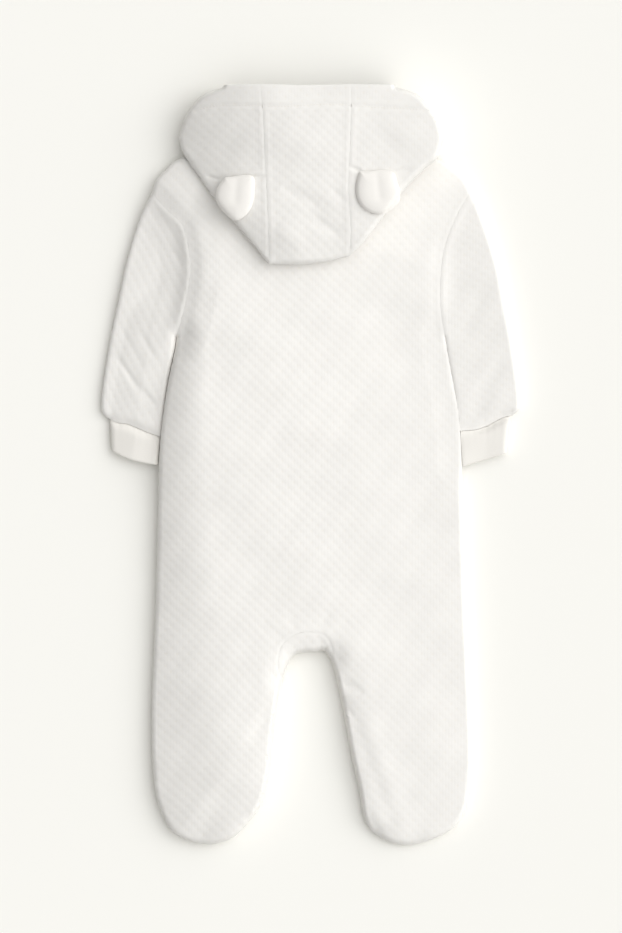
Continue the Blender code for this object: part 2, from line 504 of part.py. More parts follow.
class Cloth:
    """One piece of cloth: a closed wall put together from layers."""

    def __init__(self, name, thickness, colour=IVORY, roughness=0.85, inward=None):
        self.name, self.thickness, self.inward = name, thickness, inward
        self.colour, self.roughness = colour, roughness
        self.points, self.faces = [], []

    def add(self, points, faces):
        """Keep some triangles; doubles at shared edges are merged at the end."""
        offset = sum(len(run) for run in self.points)
        self.points.append(points)
        self.faces.append(faces + offset)

    def rim(self, outer, inner):
        """A strip between an edge of the outer face and the same edge of the inner one."""
        first, count = np.arange(len(outer) - 1), len(outer)
        near = np.column_stack([first, first + 1, first + 1 + count])
        far = np.column_stack([first, first + 1 + count, first + count])
        self.add(np.vstack([outer, inner]), np.vstack([near, far]))

    def face(self, loop, edge_z, height, rings, fold_lines, quilt=None, plain_zone=None,
             folded=None, sparse=1, crease=None):
        """One face: a loop with its own heights, and seeds at the heights of the surface."""
        rounded = []
        for ring in rings:
            line = inset(loop, np.full(len(loop), ring))[::sparse]
            clear = inside(line, loop) & (distance(line, closed(loop)) > 0.85 * ring)
            rounded.append(line[clear & (distance(line, *fold_lines) < 1.2 * ring)])
        if crease is not None:
            rounded.append(crease[self.clear(crease, loop, CREASE_ROOM, fold_lines, 0.0)])
        reach = rings[-1] + RING_ROOM if rings else 0.0
        groups, lines, relief = [], [], []
        if quilt is not None:
            seeds, corner, shape = lattice(loop, QUILT_WIDE, QUILT_TALL, quilt)
            kept = self.clear(seeds, loop, QUILT_ROOM, fold_lines, reach)
            if plain_zone is not None:
                kept &= ~inside(seeds, plain_zone)
            lines = (np.cumsum(kept) - 1)[stitched_lines(shape, kept)]
            groups.append(seeds[kept])
            relief.append(np.where(corner, -0.5, 0.5)[kept] * QUILT_RELIEF)
        if quilt is None or plain_zone is not None:
            seeds, _, _ = lattice(loop, PLAIN_STEP, PLAIN_STEP)
            kept = self.clear(seeds, loop, PLAIN_ROOM, fold_lines, reach)
            if plain_zone is not None:
                kept &= inside(seeds, plain_zone)
                kept &= distance(seeds, closed(plain_zone)) > QUILT_ROOM
            groups.append(seeds[kept])
            relief.append(np.zeros(kept.sum()))
        seeds = np.vstack(groups + rounded)
        plan, faces = triangulate(loop, seeds, lines)
        if folded is not None:
            on_fold = np.concatenate([folded, np.zeros(len(seeds), bool)])[faces].all(1)
            seeds = np.vstack([seeds, plan[faces[on_fold]].mean(1)])
            plan, faces = triangulate(loop, seeds, lines)
        z = height(plan)
        z[:len(loop)] = edge_z
        relief = np.concatenate(relief)
        z[len(loop):len(loop) + len(relief)] += relief
        self.add(np.column_stack([plan, z]), faces)
        return np.column_stack([loop, edge_z])

    @staticmethod
    def clear(seeds, loop, room, fold_lines, reach):
        """Seeds inside the loop, with room to its edge and past the rings along its folds."""
        kept = inside(seeds, loop) & (distance(seeds, closed(loop)) > room)
        return kept & (distance(seeds, *fold_lines) > reach) if reach else kept

    def layer(self, shape, height, fold_height, rims=(CUT,), rings=(), quilt=None,
              plain_zone=None, crease=None):
        """One layer: its outer face, its inner face and the rims along its open edges.

        height(points, inner) gives the surface a distance inner inside the outer face, and
        crease(inner) the plan points of a sharp bend in it.
        """
        fold_z = fold_height(shape.loop)
        depth = np.where(shape.folded, self.thickness, 0.0)
        inner_loop = inset(shape.loop, depth)
        if self.inward:
            inner_loop = shape.loop + self.inward(shape.loop) * depth[:, None]
        sides = []
        for loop, inner in ((shape.loop, 0.0), (inner_loop, self.thickness)):
            edge_z = np.where(shape.folded, fold_z, height(loop, inner))
            fold_lines = [loop[places] for kind, places in shape.runs if kind == FOLD]
            bend = crease(inner) if crease else None
            if inner:
                side = self.face(loop, edge_z, lambda plan: height(plan, inner), INNER_RINGS,
                                 fold_lines, folded=shape.folded, crease=bend,
                                 sparse=2 if len(loop) > RING_MANY else 1)
            else:
                side = self.face(loop, edge_z, lambda plan: height(plan, inner), rings,
                                 fold_lines, quilt, plain_zone, shape.folded, crease=bend)
            sides.append(side)
        for kind, places in shape.runs:
            if kind in rims:
                self.rim(sides[0][places], sides[1][places])

    def build(self, shift=(0.0, 0.0)):
        """Merge the doubles, turn the faces out and make the object."""
        points = (np.vstack(self.points) + [*shift, 0.0]) * MM
        mesh = bmesh.new()
        corners = [mesh.verts.new(point) for point in points]
        for face in np.vstack(self.faces):
            mesh.faces.new([corners[place] for place in face])
        bmesh.ops.remove_doubles(mesh, verts=mesh.verts, dist=MERGE_DISTANCE)
        bmesh.ops.recalc_face_normals(mesh, faces=mesh.faces)
        if mesh.calc_volume(signed=True) < 0.0:
            bmesh.ops.reverse_faces(mesh, faces=mesh.faces)
        data = bpy.data.meshes.new(self.name)
        mesh.to_mesh(data)
        mesh.free()
        data.shade_smooth()
        data.set_sharp_from_angle(angle=np.radians(50.0))
        data.materials.append(jersey(self.name, self.colour, self.roughness))
        piece = bpy.data.objects.new(self.name, data)
        bpy.context.collection.objects.link(piece)
        return piece


def jersey(name, colour, roughness):
    """A plain cloth material."""
    material = bpy.data.materials.new(name)
    material.use_nodes = True
    shader = material.node_tree.nodes["Principled BSDF"]
    shader.inputs["Base Color"].default_value = (*colour, 1.0)
    shader.inputs["Roughness"].default_value = roughness
    shader.inputs["Metallic"].default_value = 0.0
    return material


# ---------------------------------------------------------------- the pieces
def body_side(points):
    """Height of the side seam, on body, sleeves and cuffs alike."""
    return crown(points, True)[0]


def build_back():
    """The back: one quilted panel from the neck to the toes, plain where the hood covers it."""
    back = Cloth("back_panel", CLOTH)
    lift = SEAM_GAP / 2.0
    covered = inset(HOOD_LOOP, np.full(len(HOOD_LOOP), HOOD_OVERLAP))
    back.layer(BACK_OUTLINE, lambda points, inner: upper(points, True, inner, lift),
               lambda points: body_side(points) + lift, (CUT, FOLD), UPPER_RINGS, 0.0, covered)
    back.build()


def build_front(side, name):
    """One front, from the shoulder to the toe, with half of the closed centre front."""
    front = Cloth(name, CLOTH)
    drop = -SEAM_GAP / 2.0
    half_gap = side * SEAM_GAP / 2.0
    gusset = GUSSET_SEAMS[side].copy()
    gusset[np.abs(gusset[:, 0]) < SEAM_GAP, 0] = half_gap
    centre = np.vstack([gusset[np.abs(gusset[:, 0]).argmin()], FRONT_NECKS[side][-1]])
    shape = outline(
        (CUT, FRONT_NECKS[side]), (FOLD, SHOULDERS[side]), (CUT, ARMHOLES[side]),
        (FOLD, SIDES[side]), (FOLD, FEET[side]), (CUT, gusset),
        (CUT, smooth_line(centre, PLAIN_STEP)))
    front.layer(shape, lambda points, inner: lower(points, True, inner, drop),
                lambda points: body_side(points) + drop, (CUT, FOLD), LOWER_RINGS)
    front.build()


def build_gusset():
    """The crotch gusset: a strip that folds round the crotch, its upper half quilted."""
    gusset = Cloth("crotch_gusset", CLOTH)
    seam = outline((CUT, GUSSET_SEAMS[LEFT]), (CUT, GUSSET_SEAMS[RIGHT]), (FOLD, CROTCH_LINE))
    room = np.full(len(seam.loop), SEAM_GAP)
    room[seam.runs[-1][1][1:-1]] = 0.0
    shape = Outline(inset(seam.loop, room), seam.folded, seam.runs)
    gusset.layer(shape, lambda points, inner: upper(points, True, inner), body_side,
                 rings=GUSSET_RINGS, quilt=0.0)
    gusset.layer(shape, lambda points, inner: lower(points, True, inner), body_side,
                 rings=GUSSET_RINGS)
    gusset.build()


def build_sleeve(side, name, grain):
    """One sleeve: a tube lying flat, quilted above, open at the armhole and the wrist."""
    sleeve = Cloth(name, CLOTH)
    shape = outline((CUT, ARMHOLES[side]), (FOLD, INNER_SLEEVES[side]), (CUT, WRISTS[side]),
                    (FOLD, OUTER_SLEEVES[side]))
    sleeve.layer(shape, lambda points, inner: upper(points, False, inner), limb_side,
                 rings=UPPER_RINGS, quilt=grain)
    sleeve.layer(shape, lambda points, inner: lower(points, False, inner), limb_side,
                 rings=LOWER_RINGS)
    sleeve.build((side * SLEEVE_SHIFT[0], SLEEVE_SHIFT[1]))


def limb_side(points):
    """Height of the folded side of a sleeve or cuff."""
    return crown(points, False)[0]


def build_cuff(side, name):
    """One plain cuff: a narrow tube, open at the wrist and the hand."""
    cuff = Cloth(name, CUFF_CLOTH, PALE_IVORY, 0.8)
    shape = outline((CUT, WRISTS[side]), (FOLD, INNER_CUFFS[side]), (CUT, CUFF_ENDS[side]),
                    (FOLD, OUTER_CUFFS[side]))
    cuff.layer(shape, lambda points, inner: upper(points, False, inner), limb_side,
               rings=CUFF_RINGS)
    cuff.layer(shape, lambda points, inner: lower(points, False, inner), limb_side,
               rings=CUFF_RINGS)
    cuff.build((side * SLEEVE_SHIFT[0], SLEEVE_SHIFT[1] - SEAM_GAP))


def hood_fold_height(points):
    """Height of the hood's folded edge."""
    return read(HOOD_HEIGHTS, "fold", points[:, 1])


def hood_inward(points):
    """Direction into the hood from its folded outline, and along the seams at the crown."""
    along = np.gradient(HOOD_CHAIN, axis=0)
    along /= np.hypot(*along.T)[:, None]
    inward = np.column_stack([-along[:, 1], along[:, 0]])
    away = np.hypot(*(points[:, None] - HOOD_CHAIN[None]).transpose(2, 0, 1))
    inward = inward[away.argmin(1)]
    for end in CROWN_LINE[[0, -1]]:
        inward[np.hypot(*(points - end).T) < 2.0 * SEAM_GAP] = 0.0, 1.0
    return inward


def build_hood_centre():
    """The hood's middle strip: from the brim over the crown fold and under to the nape."""
    strip = Cloth("hood_centre", CLOTH, inward=hood_inward)
    seams = {LEFT: smooth_line(HOOD_SEAM_LEFT), RIGHT: smooth_line(HOOD_SEAM_RIGHT)}
    nape_seams = {LEFT: smooth_line(NAPE_SEAM_LEFT), RIGHT: smooth_line(NAPE_SEAM_RIGHT)}
    for side in (LEFT, RIGHT):
        seams[side] = seams[side] - [side * SEAM_GAP, 0.0]
        nape_seams[side] = nape_seams[side] - [side * SEAM_GAP, 0.0]
    fold = CROWN_LINE.copy()
    fold[0], fold[-1] = seams[LEFT][-1], seams[RIGHT][-1]
    brim = smooth_line(np.vstack([seams[LEFT][0], BRIM_MIDDLE, seams[RIGHT][0]]))
    nape = smooth_line(np.vstack([nape_seams[LEFT][-1], NAPE_MIDDLE, nape_seams[RIGHT][-1]]))
    upper_shape = outline((CUT, brim), (CUT, seams[RIGHT]), (FOLD, fold), (CUT, seams[LEFT]))
    under_shape = outline((CUT, nape), (CUT, nape_seams[RIGHT]), (FOLD, fold),
                          (CUT, nape_seams[LEFT]))
    strip.layer(upper_shape, hood_upper, hood_fold_height, rings=UPPER_RINGS, quilt=0.0)
    strip.layer(under_shape, hood_under, hood_fold_height, rings=HOOD_UNDER_RINGS)
    strip.build()


def build_hood_side(side, name):
    """One side of the hood: the upper layer, folded under along its outline.

    Under the slanting edge it lies on the back; past the shoulder it lies on the surface and
    meets the other side at the closed centre front.
    """
    cloth = Cloth(name, CLOTH, inward=hood_inward)
    seam = smooth_line(HOOD_SEAM_LEFT if side == LEFT else HOOD_SEAM_RIGHT)
    nape_seam = smooth_line(NAPE_SEAM_LEFT if side == LEFT else NAPE_SEAM_RIGHT)
    nape = smooth_line(NAPE_LEFT if side == LEFT else NAPE_RIGHT)
    corner = smooth_line(NAPE_CORNER_LEFT if side == LEFT else NAPE_CORNER_RIGHT)
    crease = smooth_line(CHEEK_FOLD_LEFT if side == LEFT else CHEEK_FOLD_RIGHT)
    brim = smooth_line(HOOD_BRIM_LEFT if side == LEFT else HOOD_BRIM_RIGHT)
    cheek_brim = smooth_line(CHEEK_BRIM_LEFT if side == LEFT else CHEEK_BRIM_RIGHT)
    cheek_neck = FRONT_NECKS[side] + [0.0, NECK_ROOM]
    cheek_corner = smooth_line(np.vstack([cheek_neck[0], corner[-1]]))
    centre = smooth_line(np.vstack([cheek_neck[-1], cheek_brim[-1]]), PLAIN_STEP)
    fold, slant = HOOD_FOLDS[side], HOOD_SLANTS[side]
    upper_shape = outline((CUT, brim), (CUT, seam), (FOLD, slant), (FOLD, fold))
    under_shape = outline((CUT, nape_seam), (CUT, nape), (CUT, corner), (JOIN, crease),
                          (FOLD, slant))
    cheek_shape = outline((FOLD, fold), (CUT, cheek_brim), (CUT, centre), (CUT, cheek_neck),
                          (CUT, cheek_corner), (JOIN, crease))
    cloth.layer(upper_shape, hood_upper, hood_fold_height, rings=UPPER_RINGS, quilt=0.0)
    cloth.layer(under_shape, hood_under, hood_fold_height, rings=HOOD_UNDER_RINGS,
                crease=lambda inner: shoulder_drape(side, inner))
    cloth.layer(cheek_shape, hood_cheek, hood_fold_height, rings=HOOD_UNDER_RINGS)
    cloth.build()


def build_ear(rim_line, pinch, name):
    """One ear: two layers sewn and turned, plump in the middle, with a pleat at its root."""
    ear = Cloth(name, EAR_RIM, PALE_IVORY, 0.85)
    loop = smooth_line(closed(rim_line), EAR_STEP)[:-1]

    def under(points):
        """Just clear of the hood, and level where the ear hangs past its edge."""
        fold, top = (read(HOOD_HEIGHTS, column, points[:, 1]) for column in ("fold", "crown"))
        depth = hood_depth(points)
        depth = np.where(inside(points, HOOD_LOOP), depth, -depth) + DRAPE_MARGIN
        return fold + EAR_LIFT + (top - fold) * round_over(depth, HOOD_ROUND)

    def over(points):
        """Rounded over from the rim, less the pleat."""
        plump = EAR_RISE * round_over(distance(points, closed(loop)), EAR_ROUND)
        pleat = EAR_PINCH * np.exp(-(distance(points, pinch) / EAR_PINCH_WIDTH) ** 2)
        return under(points) + EAR_RIM + np.maximum(plump - pleat, 0.0)

    lower_rim = ear.face(loop, under(loop), under, EAR_RINGS[1:], [closed(loop)])
    upper_rim = ear.face(loop, under(loop) + EAR_RIM, over, EAR_RINGS, [closed(loop)])
    ear.rim(closed(upper_rim), closed(lower_rim))
    ear.build()


def build_onesie():
    """All pieces of the garment."""
    for old in list(bpy.data.objects):
        bpy.data.objects.remove(old, do_unlink=True)
    build_back()
    build_front(LEFT, "front_left")
    build_front(RIGHT, "front_right")
    build_gusset()
    build_sleeve(LEFT, "sleeve_left", SLEEVE_GRAIN_LEFT)
    build_sleeve(RIGHT, "sleeve_right", SLEEVE_GRAIN_RIGHT)
    build_cuff(LEFT, "cuff_left")
    build_cuff(RIGHT, "cuff_right")
    build_hood_centre()
    build_hood_side(LEFT, "hood_side_left")
    build_hood_side(RIGHT, "hood_side_right")
    build_ear(EAR_LEFT, EAR_PINCH_LEFT, "ear_left")
    build_ear(EAR_RIGHT, EAR_PINCH_RIGHT, "ear_right")


build_onesie()
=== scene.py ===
"""Hooded, footed baby onesie in diamond-quilted jersey, laid flat on its front with its back up.

+X is to the right, +Y points to the hood and +Z is up from the surface it lies on.  Sizes in the
tables are millimetres and only finished points become metres.

Every piece of cloth is a wall between an outer and an inner face.  A face is worked out in a flat
"pattern" plane, where the cloth is at full size, and then laid: near a folded edge a point at
pattern depth d from the fold turns over a quarter ellipse, so its angle is a = 90 deg * d / R, its
place in plan lies R * (1 - cos a) inside the fold and its height is side + rise * sin a.
"""
import math
from collections import namedtuple
from functools import partial

import bpy
import numpy as np
from bpy.props import FloatProperty, FloatVectorProperty, PointerProperty
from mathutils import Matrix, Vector
from mathutils.geometry import delaunay_2d_cdt


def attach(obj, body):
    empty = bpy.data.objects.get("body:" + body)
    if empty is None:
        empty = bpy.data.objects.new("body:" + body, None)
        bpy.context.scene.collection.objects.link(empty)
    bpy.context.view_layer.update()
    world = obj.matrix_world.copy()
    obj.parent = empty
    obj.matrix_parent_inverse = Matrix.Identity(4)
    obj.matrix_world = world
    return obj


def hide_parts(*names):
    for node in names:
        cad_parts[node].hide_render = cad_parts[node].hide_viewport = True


bl_info = {
    "name": "Quilted baby onesie, laid flat",
    "version": (1, 0, 0),
    "blender": (4, 5, 0),
    "location": "3D Viewport > Sidebar > Onesie",
    "description": "Builds a hooded, footed onesie in quilted jersey and the surface it lies on",
    "category": "Object",
}

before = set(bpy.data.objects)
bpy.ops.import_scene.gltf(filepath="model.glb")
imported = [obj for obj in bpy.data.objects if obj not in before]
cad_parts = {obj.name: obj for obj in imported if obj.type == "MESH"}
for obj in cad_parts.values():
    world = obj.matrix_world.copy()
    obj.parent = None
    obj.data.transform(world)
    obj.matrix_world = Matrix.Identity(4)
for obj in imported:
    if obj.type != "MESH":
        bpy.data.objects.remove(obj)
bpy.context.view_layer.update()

# ---------------------------------------------------------------- sizes, millimetres
MM = 0.001
CLOTH = 2.4                 # thickness of the quilted jersey
CUFF_CLOTH = 1.8            # thickness of the plain jersey cuffs
EDGE_STEP = 1.4             # spacing of points along the edge of a fine face
TRACE_STEP = 3.0            # spacing of points along the outlines that heights are read from
ROUND = 3.6                 # R, how far in the cloth turns over from a folded edge
TURN = 3.6                  # how much it rises in that turn
LOWER_ROUND = 11.0          # how far in the underside comes down to the surface
HOOD_UNDER_ROUND = 9.0      # how far in the hood's lower layer comes down
LIE_GAP = 0.6               # between a layer and what it lies on
FINE_CUTS = 5               # a diamond's side has this many spaces in a fine face
SIDE_CUTS = 3               # and this many in a face that is seen only at its edges
INNER_STEP = 5.0            # spacing of points inside the garment
COVERED = 12.0              # how far under the hood the back's quilting goes on
READ_STEP = 6.0             # over twice this on either side, heights are evened out
BAND = 15.0                 # height of the bands in which distances are worked out
MERGE_PLACES = 3            # decimals of a millimetre that make two points one

Height = namedtuple("Height", "y left_side right_side left right reach")
# Height of the left and right side seam, how much the cloth swells above its turn left and right
# of the middle, and over what distance in from the left side, down the body and down a sleeve
BODY_HEIGHTS = (
    Height(280.0, 6.0, 5.5, 5.0, 5.0, 36.0),
    Height(245.0, 7.5, 6.0, 8.0, 8.0, 36.0),
    Height(200.0, 8.5, 6.0, 11.5, 9.5, 30.0),
    Height(112.0, 12.5, 6.0, 11.5, 9.5, 25.0),
    Height(70.0, 13.5, 6.0, 11.5, 9.5, 34.0),
    Height(20.0, 13.5, 6.0, 11.0, 9.5, 38.0),
    Height(-40.0, 9.0, 5.5, 11.5, 9.5, 46.0),
    Height(-120.0, 8.0, 5.5, 11.5, 9.5, 54.0),
    Height(-190.0, 7.5, 5.0, 14.0, 9.0, 84.0),
    Height(-260.0, 7.5, 5.0, 15.0, 9.0, 94.0),
    Height(-330.0, 7.5, 5.0, 12.5, 8.0, 80.0),
)
SLEEVE_HEIGHTS = (
    Height(240.0, 6.5, 6.0, 5.0, 4.5, 80.0),
    Height(120.0, 5.0, 6.0, 5.0, 4.0, 80.0),
    Height(85.0, 4.5, 6.0, 3.0, 3.5, 50.0),
    Height(60.0, 4.5, 6.0, 2.0, 3.0, 40.0),
    Height(30.0, 4.0, 5.5, 1.6, 2.5, 30.0),
    Height(0.0, 3.5, 5.0, 1.4, 2.0, 30.0),
)
MIDDLE_BLEND = 110.0        # half the width over which left becomes right
RIGHT_FALL = 5.0            # how much lower the body's swell ends along the right side
RIGHT_REACH = 160.0         # over this distance
RIGHT_SEAT = 5.0            # the right sleeve and side press each other up by this much
RIGHT_TURN = 0.1            # and keep this share of their turn
RIGHT_CREST = 0.15          # and this share of their swell
SEAT_REACH = 22.0           # width of that
RIGHT_EDGE = 0.55           # share of the turn that is left along the right side
LEFT_LIFT = 5.5             # the left sleeve rises towards the body by this much
LEFT_LIFT_REACH = 45.0      # over this width
SLEEVE_TURN = 0.6           # share of the turn that the left sleeve keeps
# Along the other edges a share of the swell comes in the turn and the rest over a reach
Way = namedtuple("Way", "share reach")
TOE_WAY = Way(0.7, 14.0)
CROTCH_WAY = Way(0.5, 20.0)
LEFT_LEG_WAY = Way(0.9, 20.0)
RIGHT_LEG_WAY = Way(0.6, 28.0)
CROWN_WAY = Way(0.4, 28.0)
SLEEVE_WAY = Way(1.0, 10.0)
HoodHeight = namedtuple("HoodHeight", "y left right crown reach")
# Height of the hood's folded edge left and right and of its crown, and how far in from the left
# fold the crown is, from the crown fold to the brim
HOOD_HEIGHTS = (
    HoodHeight(174.0, 31.0, 30.5, 41.5, 26.0),
    HoodHeight(215.0, 30.0, 29.5, 43.0, 44.0),
    HoodHeight(235.0, 27.0, 28.0, 44.0, 58.0),
    HoodHeight(250.0, 20.0, 27.0, 43.5, 74.0),
    HoodHeight(262.0, 16.5, 26.5, 44.0, 92.0),
    HoodHeight(278.0, 13.0, 24.0, 44.5, 98.0),
    HoodHeight(310.0, 11.5, 22.0, 44.0, 98.0),
    HoodHeight(330.0, 11.5, 21.0, 43.0, 94.0),
)
HOOD_FALL = 4.0             # how much lower its swell ends along its right fold
HOOD_TURN = 3.5             # the hood's rise in the turn at its fold
DRAPE_MARGIN = 5.0          # sideways room of the hood's lower layer round the shoulder
DRAPE_DROP = 5.0            # width of its drop from the shoulder to the surface
CHEEK_GAP = 0.45            # between its lower edge and the fronts' neck edge

# The body stands higher than the sleeves: across an armhole one height passes into the other
ARMHOLE_MIX = 8.0           # over about this distance on either side
ARMHOLE_BLEND = 26.0        # distance over which body height becomes sleeve height
WRIST_DIP = 0.70            # share of the height lost where the cuff is sewn on
WRIST_DIP_WIDTH = 4.0
SEAM_SINK = 0.10            # depth of the fine line where two pieces are sewn together
SEAM_WIDTH = 0.9
SEAM_SWELL = 0.20           # the cloth stands up a little beside that line
SEAM_SWELL_AT = 2.6
SEAM_FLAT = 3.5             # quilting fades out this close to a seam


def edge(*pairs):
    """A cut or folded edge as an array of plan points, x and y."""
    return np.array(pairs, float)


# ---------------------------------------------------------------- the pattern, x and y
NECK_LEFT = (-72.0, 275.0)
NECK_RIGHT = (71.0, 275.0)
BACK_NECK = edge(NECK_LEFT, (-54.0, 270.6), (-36.0, 268.2), (0.0, 267.0), (36.0, 268.2),
                 (54.0, 270.6), NECK_RIGHT)
FRONT_NECK_LEFT = edge(NECK_LEFT, (-58.0, 263.0), (-34.0, 253.0), (0.0, 250.0))
FRONT_NECK_RIGHT = edge(NECK_RIGHT, (57.0, 263.0), (34.0, 253.0), (0.0, 250.0))
SHOULDER_LEFT = edge(NECK_LEFT, (-97.0, 273.0), (-117.0, 266.5), (-126.5, 258.0),
                     (-135.0, 248.5), (-138.5, 237.5))
SHOULDER_RIGHT = edge(NECK_RIGHT, (94.0, 273.0), (113.5, 266.5), (123.0, 260.5),
                      (133.0, 251.5), (140.0, 239.0))
ARMHOLE_LEFT = edge((-138.5, 237.5), (-125.0, 223.0), (-111.5, 209.0), (-106.0, 188.0),
                    (-105.0, 165.0), (-110.0, 137.5), (-116.8, 112.5))
ARMHOLE_RIGHT = edge((140.0, 239.0), (131.5, 226.0), (122.0, 206.0), (115.5, 185.0),
                     (113.0, 160.0), (113.5, 135.0), (117.0, 112.5))

Section = namedtuple("Section", "y left right")
# The body's width, from the armpits to the toes
BODY_SECTIONS = (
    Section(112.5, -116.8, 117.0),
    Section(100.0, -118.3, 119.0),
    Section(75.0, -123.6, 123.6),
    Section(45.5, -128.2, 128.6),
    Section(11.5, -131.6, 131.2),
    Section(-55.5, -133.5, 133.0),
    Section(-116.5, -135.0, 135.0),
    Section(-203.5, -138.4, 138.8),
    Section(-238.5, -138.5, 140.0),
    Section(-262.0, -137.6, 140.0),
    Section(-283.0, -135.6, 138.4),
    Section(-302.0, -129.8, 133.6),
    Section(-314.0, -123.6, 125.6),
    Section(-322.0, -115.5, 113.5),
    Section(-328.5, -99.0, 97.0),
)
FOOT_LEFT = edge((-99.0, -328.5), (-84.0, -329.2), (-67.5, -323.5), (-53.5, -309.5),
                 (-42.0, -292.0), (-36.0, -268.5), (-32.5, -235.0), (-28.5, -203.5),
                 (-24.4, -184.0))
FOOT_RIGHT = edge((97.0, -328.5), (84.0, -330.2), (71.0, -328.4), (60.0, -323.0),
                  (51.4, -316.0), (45.8, -304.5), (42.4, -284.0), (35.0, -250.5),
                  (28.5, -214.0), (22.2, -184.0), (17.2, -168.4))
CROTCH = edge((-24.4, -184.0), (-20.8, -174.5), (-15.5, -165.8), (-8.0, -162.8), (4.0, -162.0),
              (11.5, -160.6), (17.2, -168.4))
GUSSET_LEFT = edge((-24.4, -184.0), (-27.6, -178.5), (-28.2, -169.0), (-25.4, -157.0),
                   (-18.0, -149.5), (-10.0, -145.2), (0.0, -144.2))
GUSSET_RIGHT = edge((0.0, -144.2), (8.5, -145.2), (15.0, -150.2), (18.6, -158.5), (17.2, -168.4))
SLEEVE_OUTER_LEFT = edge((-138.5, 237.5), (-144.6, 226.0), (-150.8, 210.5), (-160.5, 177.5),
                         (-167.5, 145.5), (-174.0, 114.0), (-180.0, 78.5), (-182.4, 58.0),
                         (-181.6, 46.5), (-174.8, 40.6))
SLEEVE_INNER_LEFT = edge((-116.8, 112.5), (-118.5, 100.0), (-123.8, 75.0), (-128.4, 45.5),
                         (-131.0, 25.5))
WRIST_LEFT = edge((-174.8, 40.6), (-168.0, 37.8), (-160.0, 36.8), (-150.5, 33.0),
                  (-140.5, 28.8), (-131.0, 25.5))
CUFF_OUTER_LEFT = edge((-174.8, 40.6), (-174.6, 28.0), (-173.8, 14.6))
CUFF_END_LEFT = edge((-173.8, 14.6), (-162.5, 8.5), (-150.5, 4.7), (-133.2, 1.4))
CUFF_INNER_LEFT = edge((-131.0, 25.5), (-132.2, 14.0), (-133.2, 1.4))
SLEEVE_OUTER_RIGHT = edge((140.0, 239.0), (146.2, 226.0), (156.0, 199.0), (164.0, 171.5),
                          (169.5, 142.0), (175.5, 110.0), (180.3, 78.5), (182.4, 58.0),
                          (181.4, 48.5), (174.6, 43.8))
SLEEVE_INNER_RIGHT = edge((117.0, 112.5), (119.1, 100.0), (123.7, 75.0), (128.7, 45.5),
                          (130.2, 30.5))
WRIST_RIGHT = edge((174.6, 43.8), (168.5, 42.6), (161.5, 39.2), (154.0, 35.2), (145.0, 32.0),
                   (138.0, 31.2), (130.2, 30.5))
CUFF_OUTER_RIGHT = edge((174.6, 43.8), (172.4, 28.0), (171.2, 12.2))
CUFF_END_RIGHT = edge((171.2, 12.2), (161.5, 9.4), (147.0, 5.0), (132.2, 0.4))
CUFF_INNER_RIGHT = edge((130.2, 30.5), (131.4, 15.0), (132.2, 0.4))

# The hood: its folded outline, from the brim down to the crown, and its seams
HOOD_FOLD_LEFT = edge((-76.5, 329.6), (-93.0, 323.2), (-102.5, 314.0), (-110.0, 302.5),
                      (-115.4, 286.0))
HOOD_SLANT_LEFT = edge((-115.4, 286.0), (-112.6, 275.5), (-106.5, 265.5), (-83.0, 231.5),
                       (-53.0, 196.0), (-36.2, 175.2))
HOOD_CROWN = edge((-36.2, 175.2), (-10.0, 174.8), (13.0, 177.2), (33.6, 182.4))
HOOD_SLANT_RIGHT = edge((33.6, 182.4), (42.0, 190.0), (51.5, 201.0), (77.0, 235.0),
                        (98.5, 257.5), (110.0, 267.5), (115.8, 284.0))
HOOD_FOLD_RIGHT = edge((115.8, 284.0), (111.5, 300.0), (104.5, 311.0), (92.0, 323.4),
                       (73.5, 329.6))
BRIM_LEFT = edge((-76.5, 329.6), (-43.5, 330.0))
BRIM_MIDDLE = edge((-43.5, 330.0), (-4.0, 329.2), (35.5, 330.0))
BRIM_RIGHT = edge((35.5, 330.0), (73.5, 329.6))
HOOD_SEAM_LEFT = edge((-43.5, 330.0), (-41.0, 298.5), (-39.0, 255.0), (-37.0, 214.0),
                      (-36.2, 175.2))
HOOD_SEAM_RIGHT = edge((35.5, 330.0), (34.6, 290.0), (33.0, 240.0), (34.8, 206.0), (33.6, 182.4))
NAPE_SEAM_LEFT = edge((-36.2, 175.2), (-36.0, 220.0), (-36.0, 267.9))
NAPE_SEAM_RIGHT = edge((33.6, 182.4), (35.0, 225.0), (36.0, 267.9))
NAPE_LEFT = edge((-36.0, 267.9), (-54.0, 270.3), (-72.4, 275.2))
NAPE_RIGHT = edge((36.0, 267.9), (54.0, 270.3), (71.4, 275.2))
NAPE_CORNER_LEFT = edge((-72.4, 275.2), (-76.0, 288.0))
NAPE_CORNER_RIGHT = edge((71.4, 275.2), (75.0, 288.0))
NAPE_MIDDLE = edge((-36.0, 267.9), (0.0, 266.7), (36.0, 267.9))
CHEEK_FOLD_LEFT = edge((-76.0, 288.0), (-96.0, 289.5), (-115.4, 286.0))
CHEEK_FOLD_RIGHT = edge((75.0, 288.0), (95.0, 289.0), (115.8, 284.0))
CHEEK_BRIM_LEFT = edge((-76.5, 329.6), (-56.0, 325.0), (-30.0, 321.0), (0.0, 319.0))
CHEEK_BRIM_RIGHT = edge((73.5, 329.6), (54.0, 325.0), (30.0, 321.0), (0.0, 319.0))
# How its left side would run on past the brim if it weren't folded round there
HOOD_SIDE_TOP = edge((-122.0, 345.0), (-120.5, 325.0), (-118.5, 303.0))
# The line of stitches that holds the hood's hem
HEM_LINE = edge((-99.5, 309.0), (-88.5, 311.5), (-71.0, 313.0), (-44.0, 312.0), (-26.0, 311.5),
                (-0.5, 313.0), (17.5, 313.5), (35.0, 312.5), (55.0, 311.0), (75.0, 310.0),
                (100.5, 309.0))

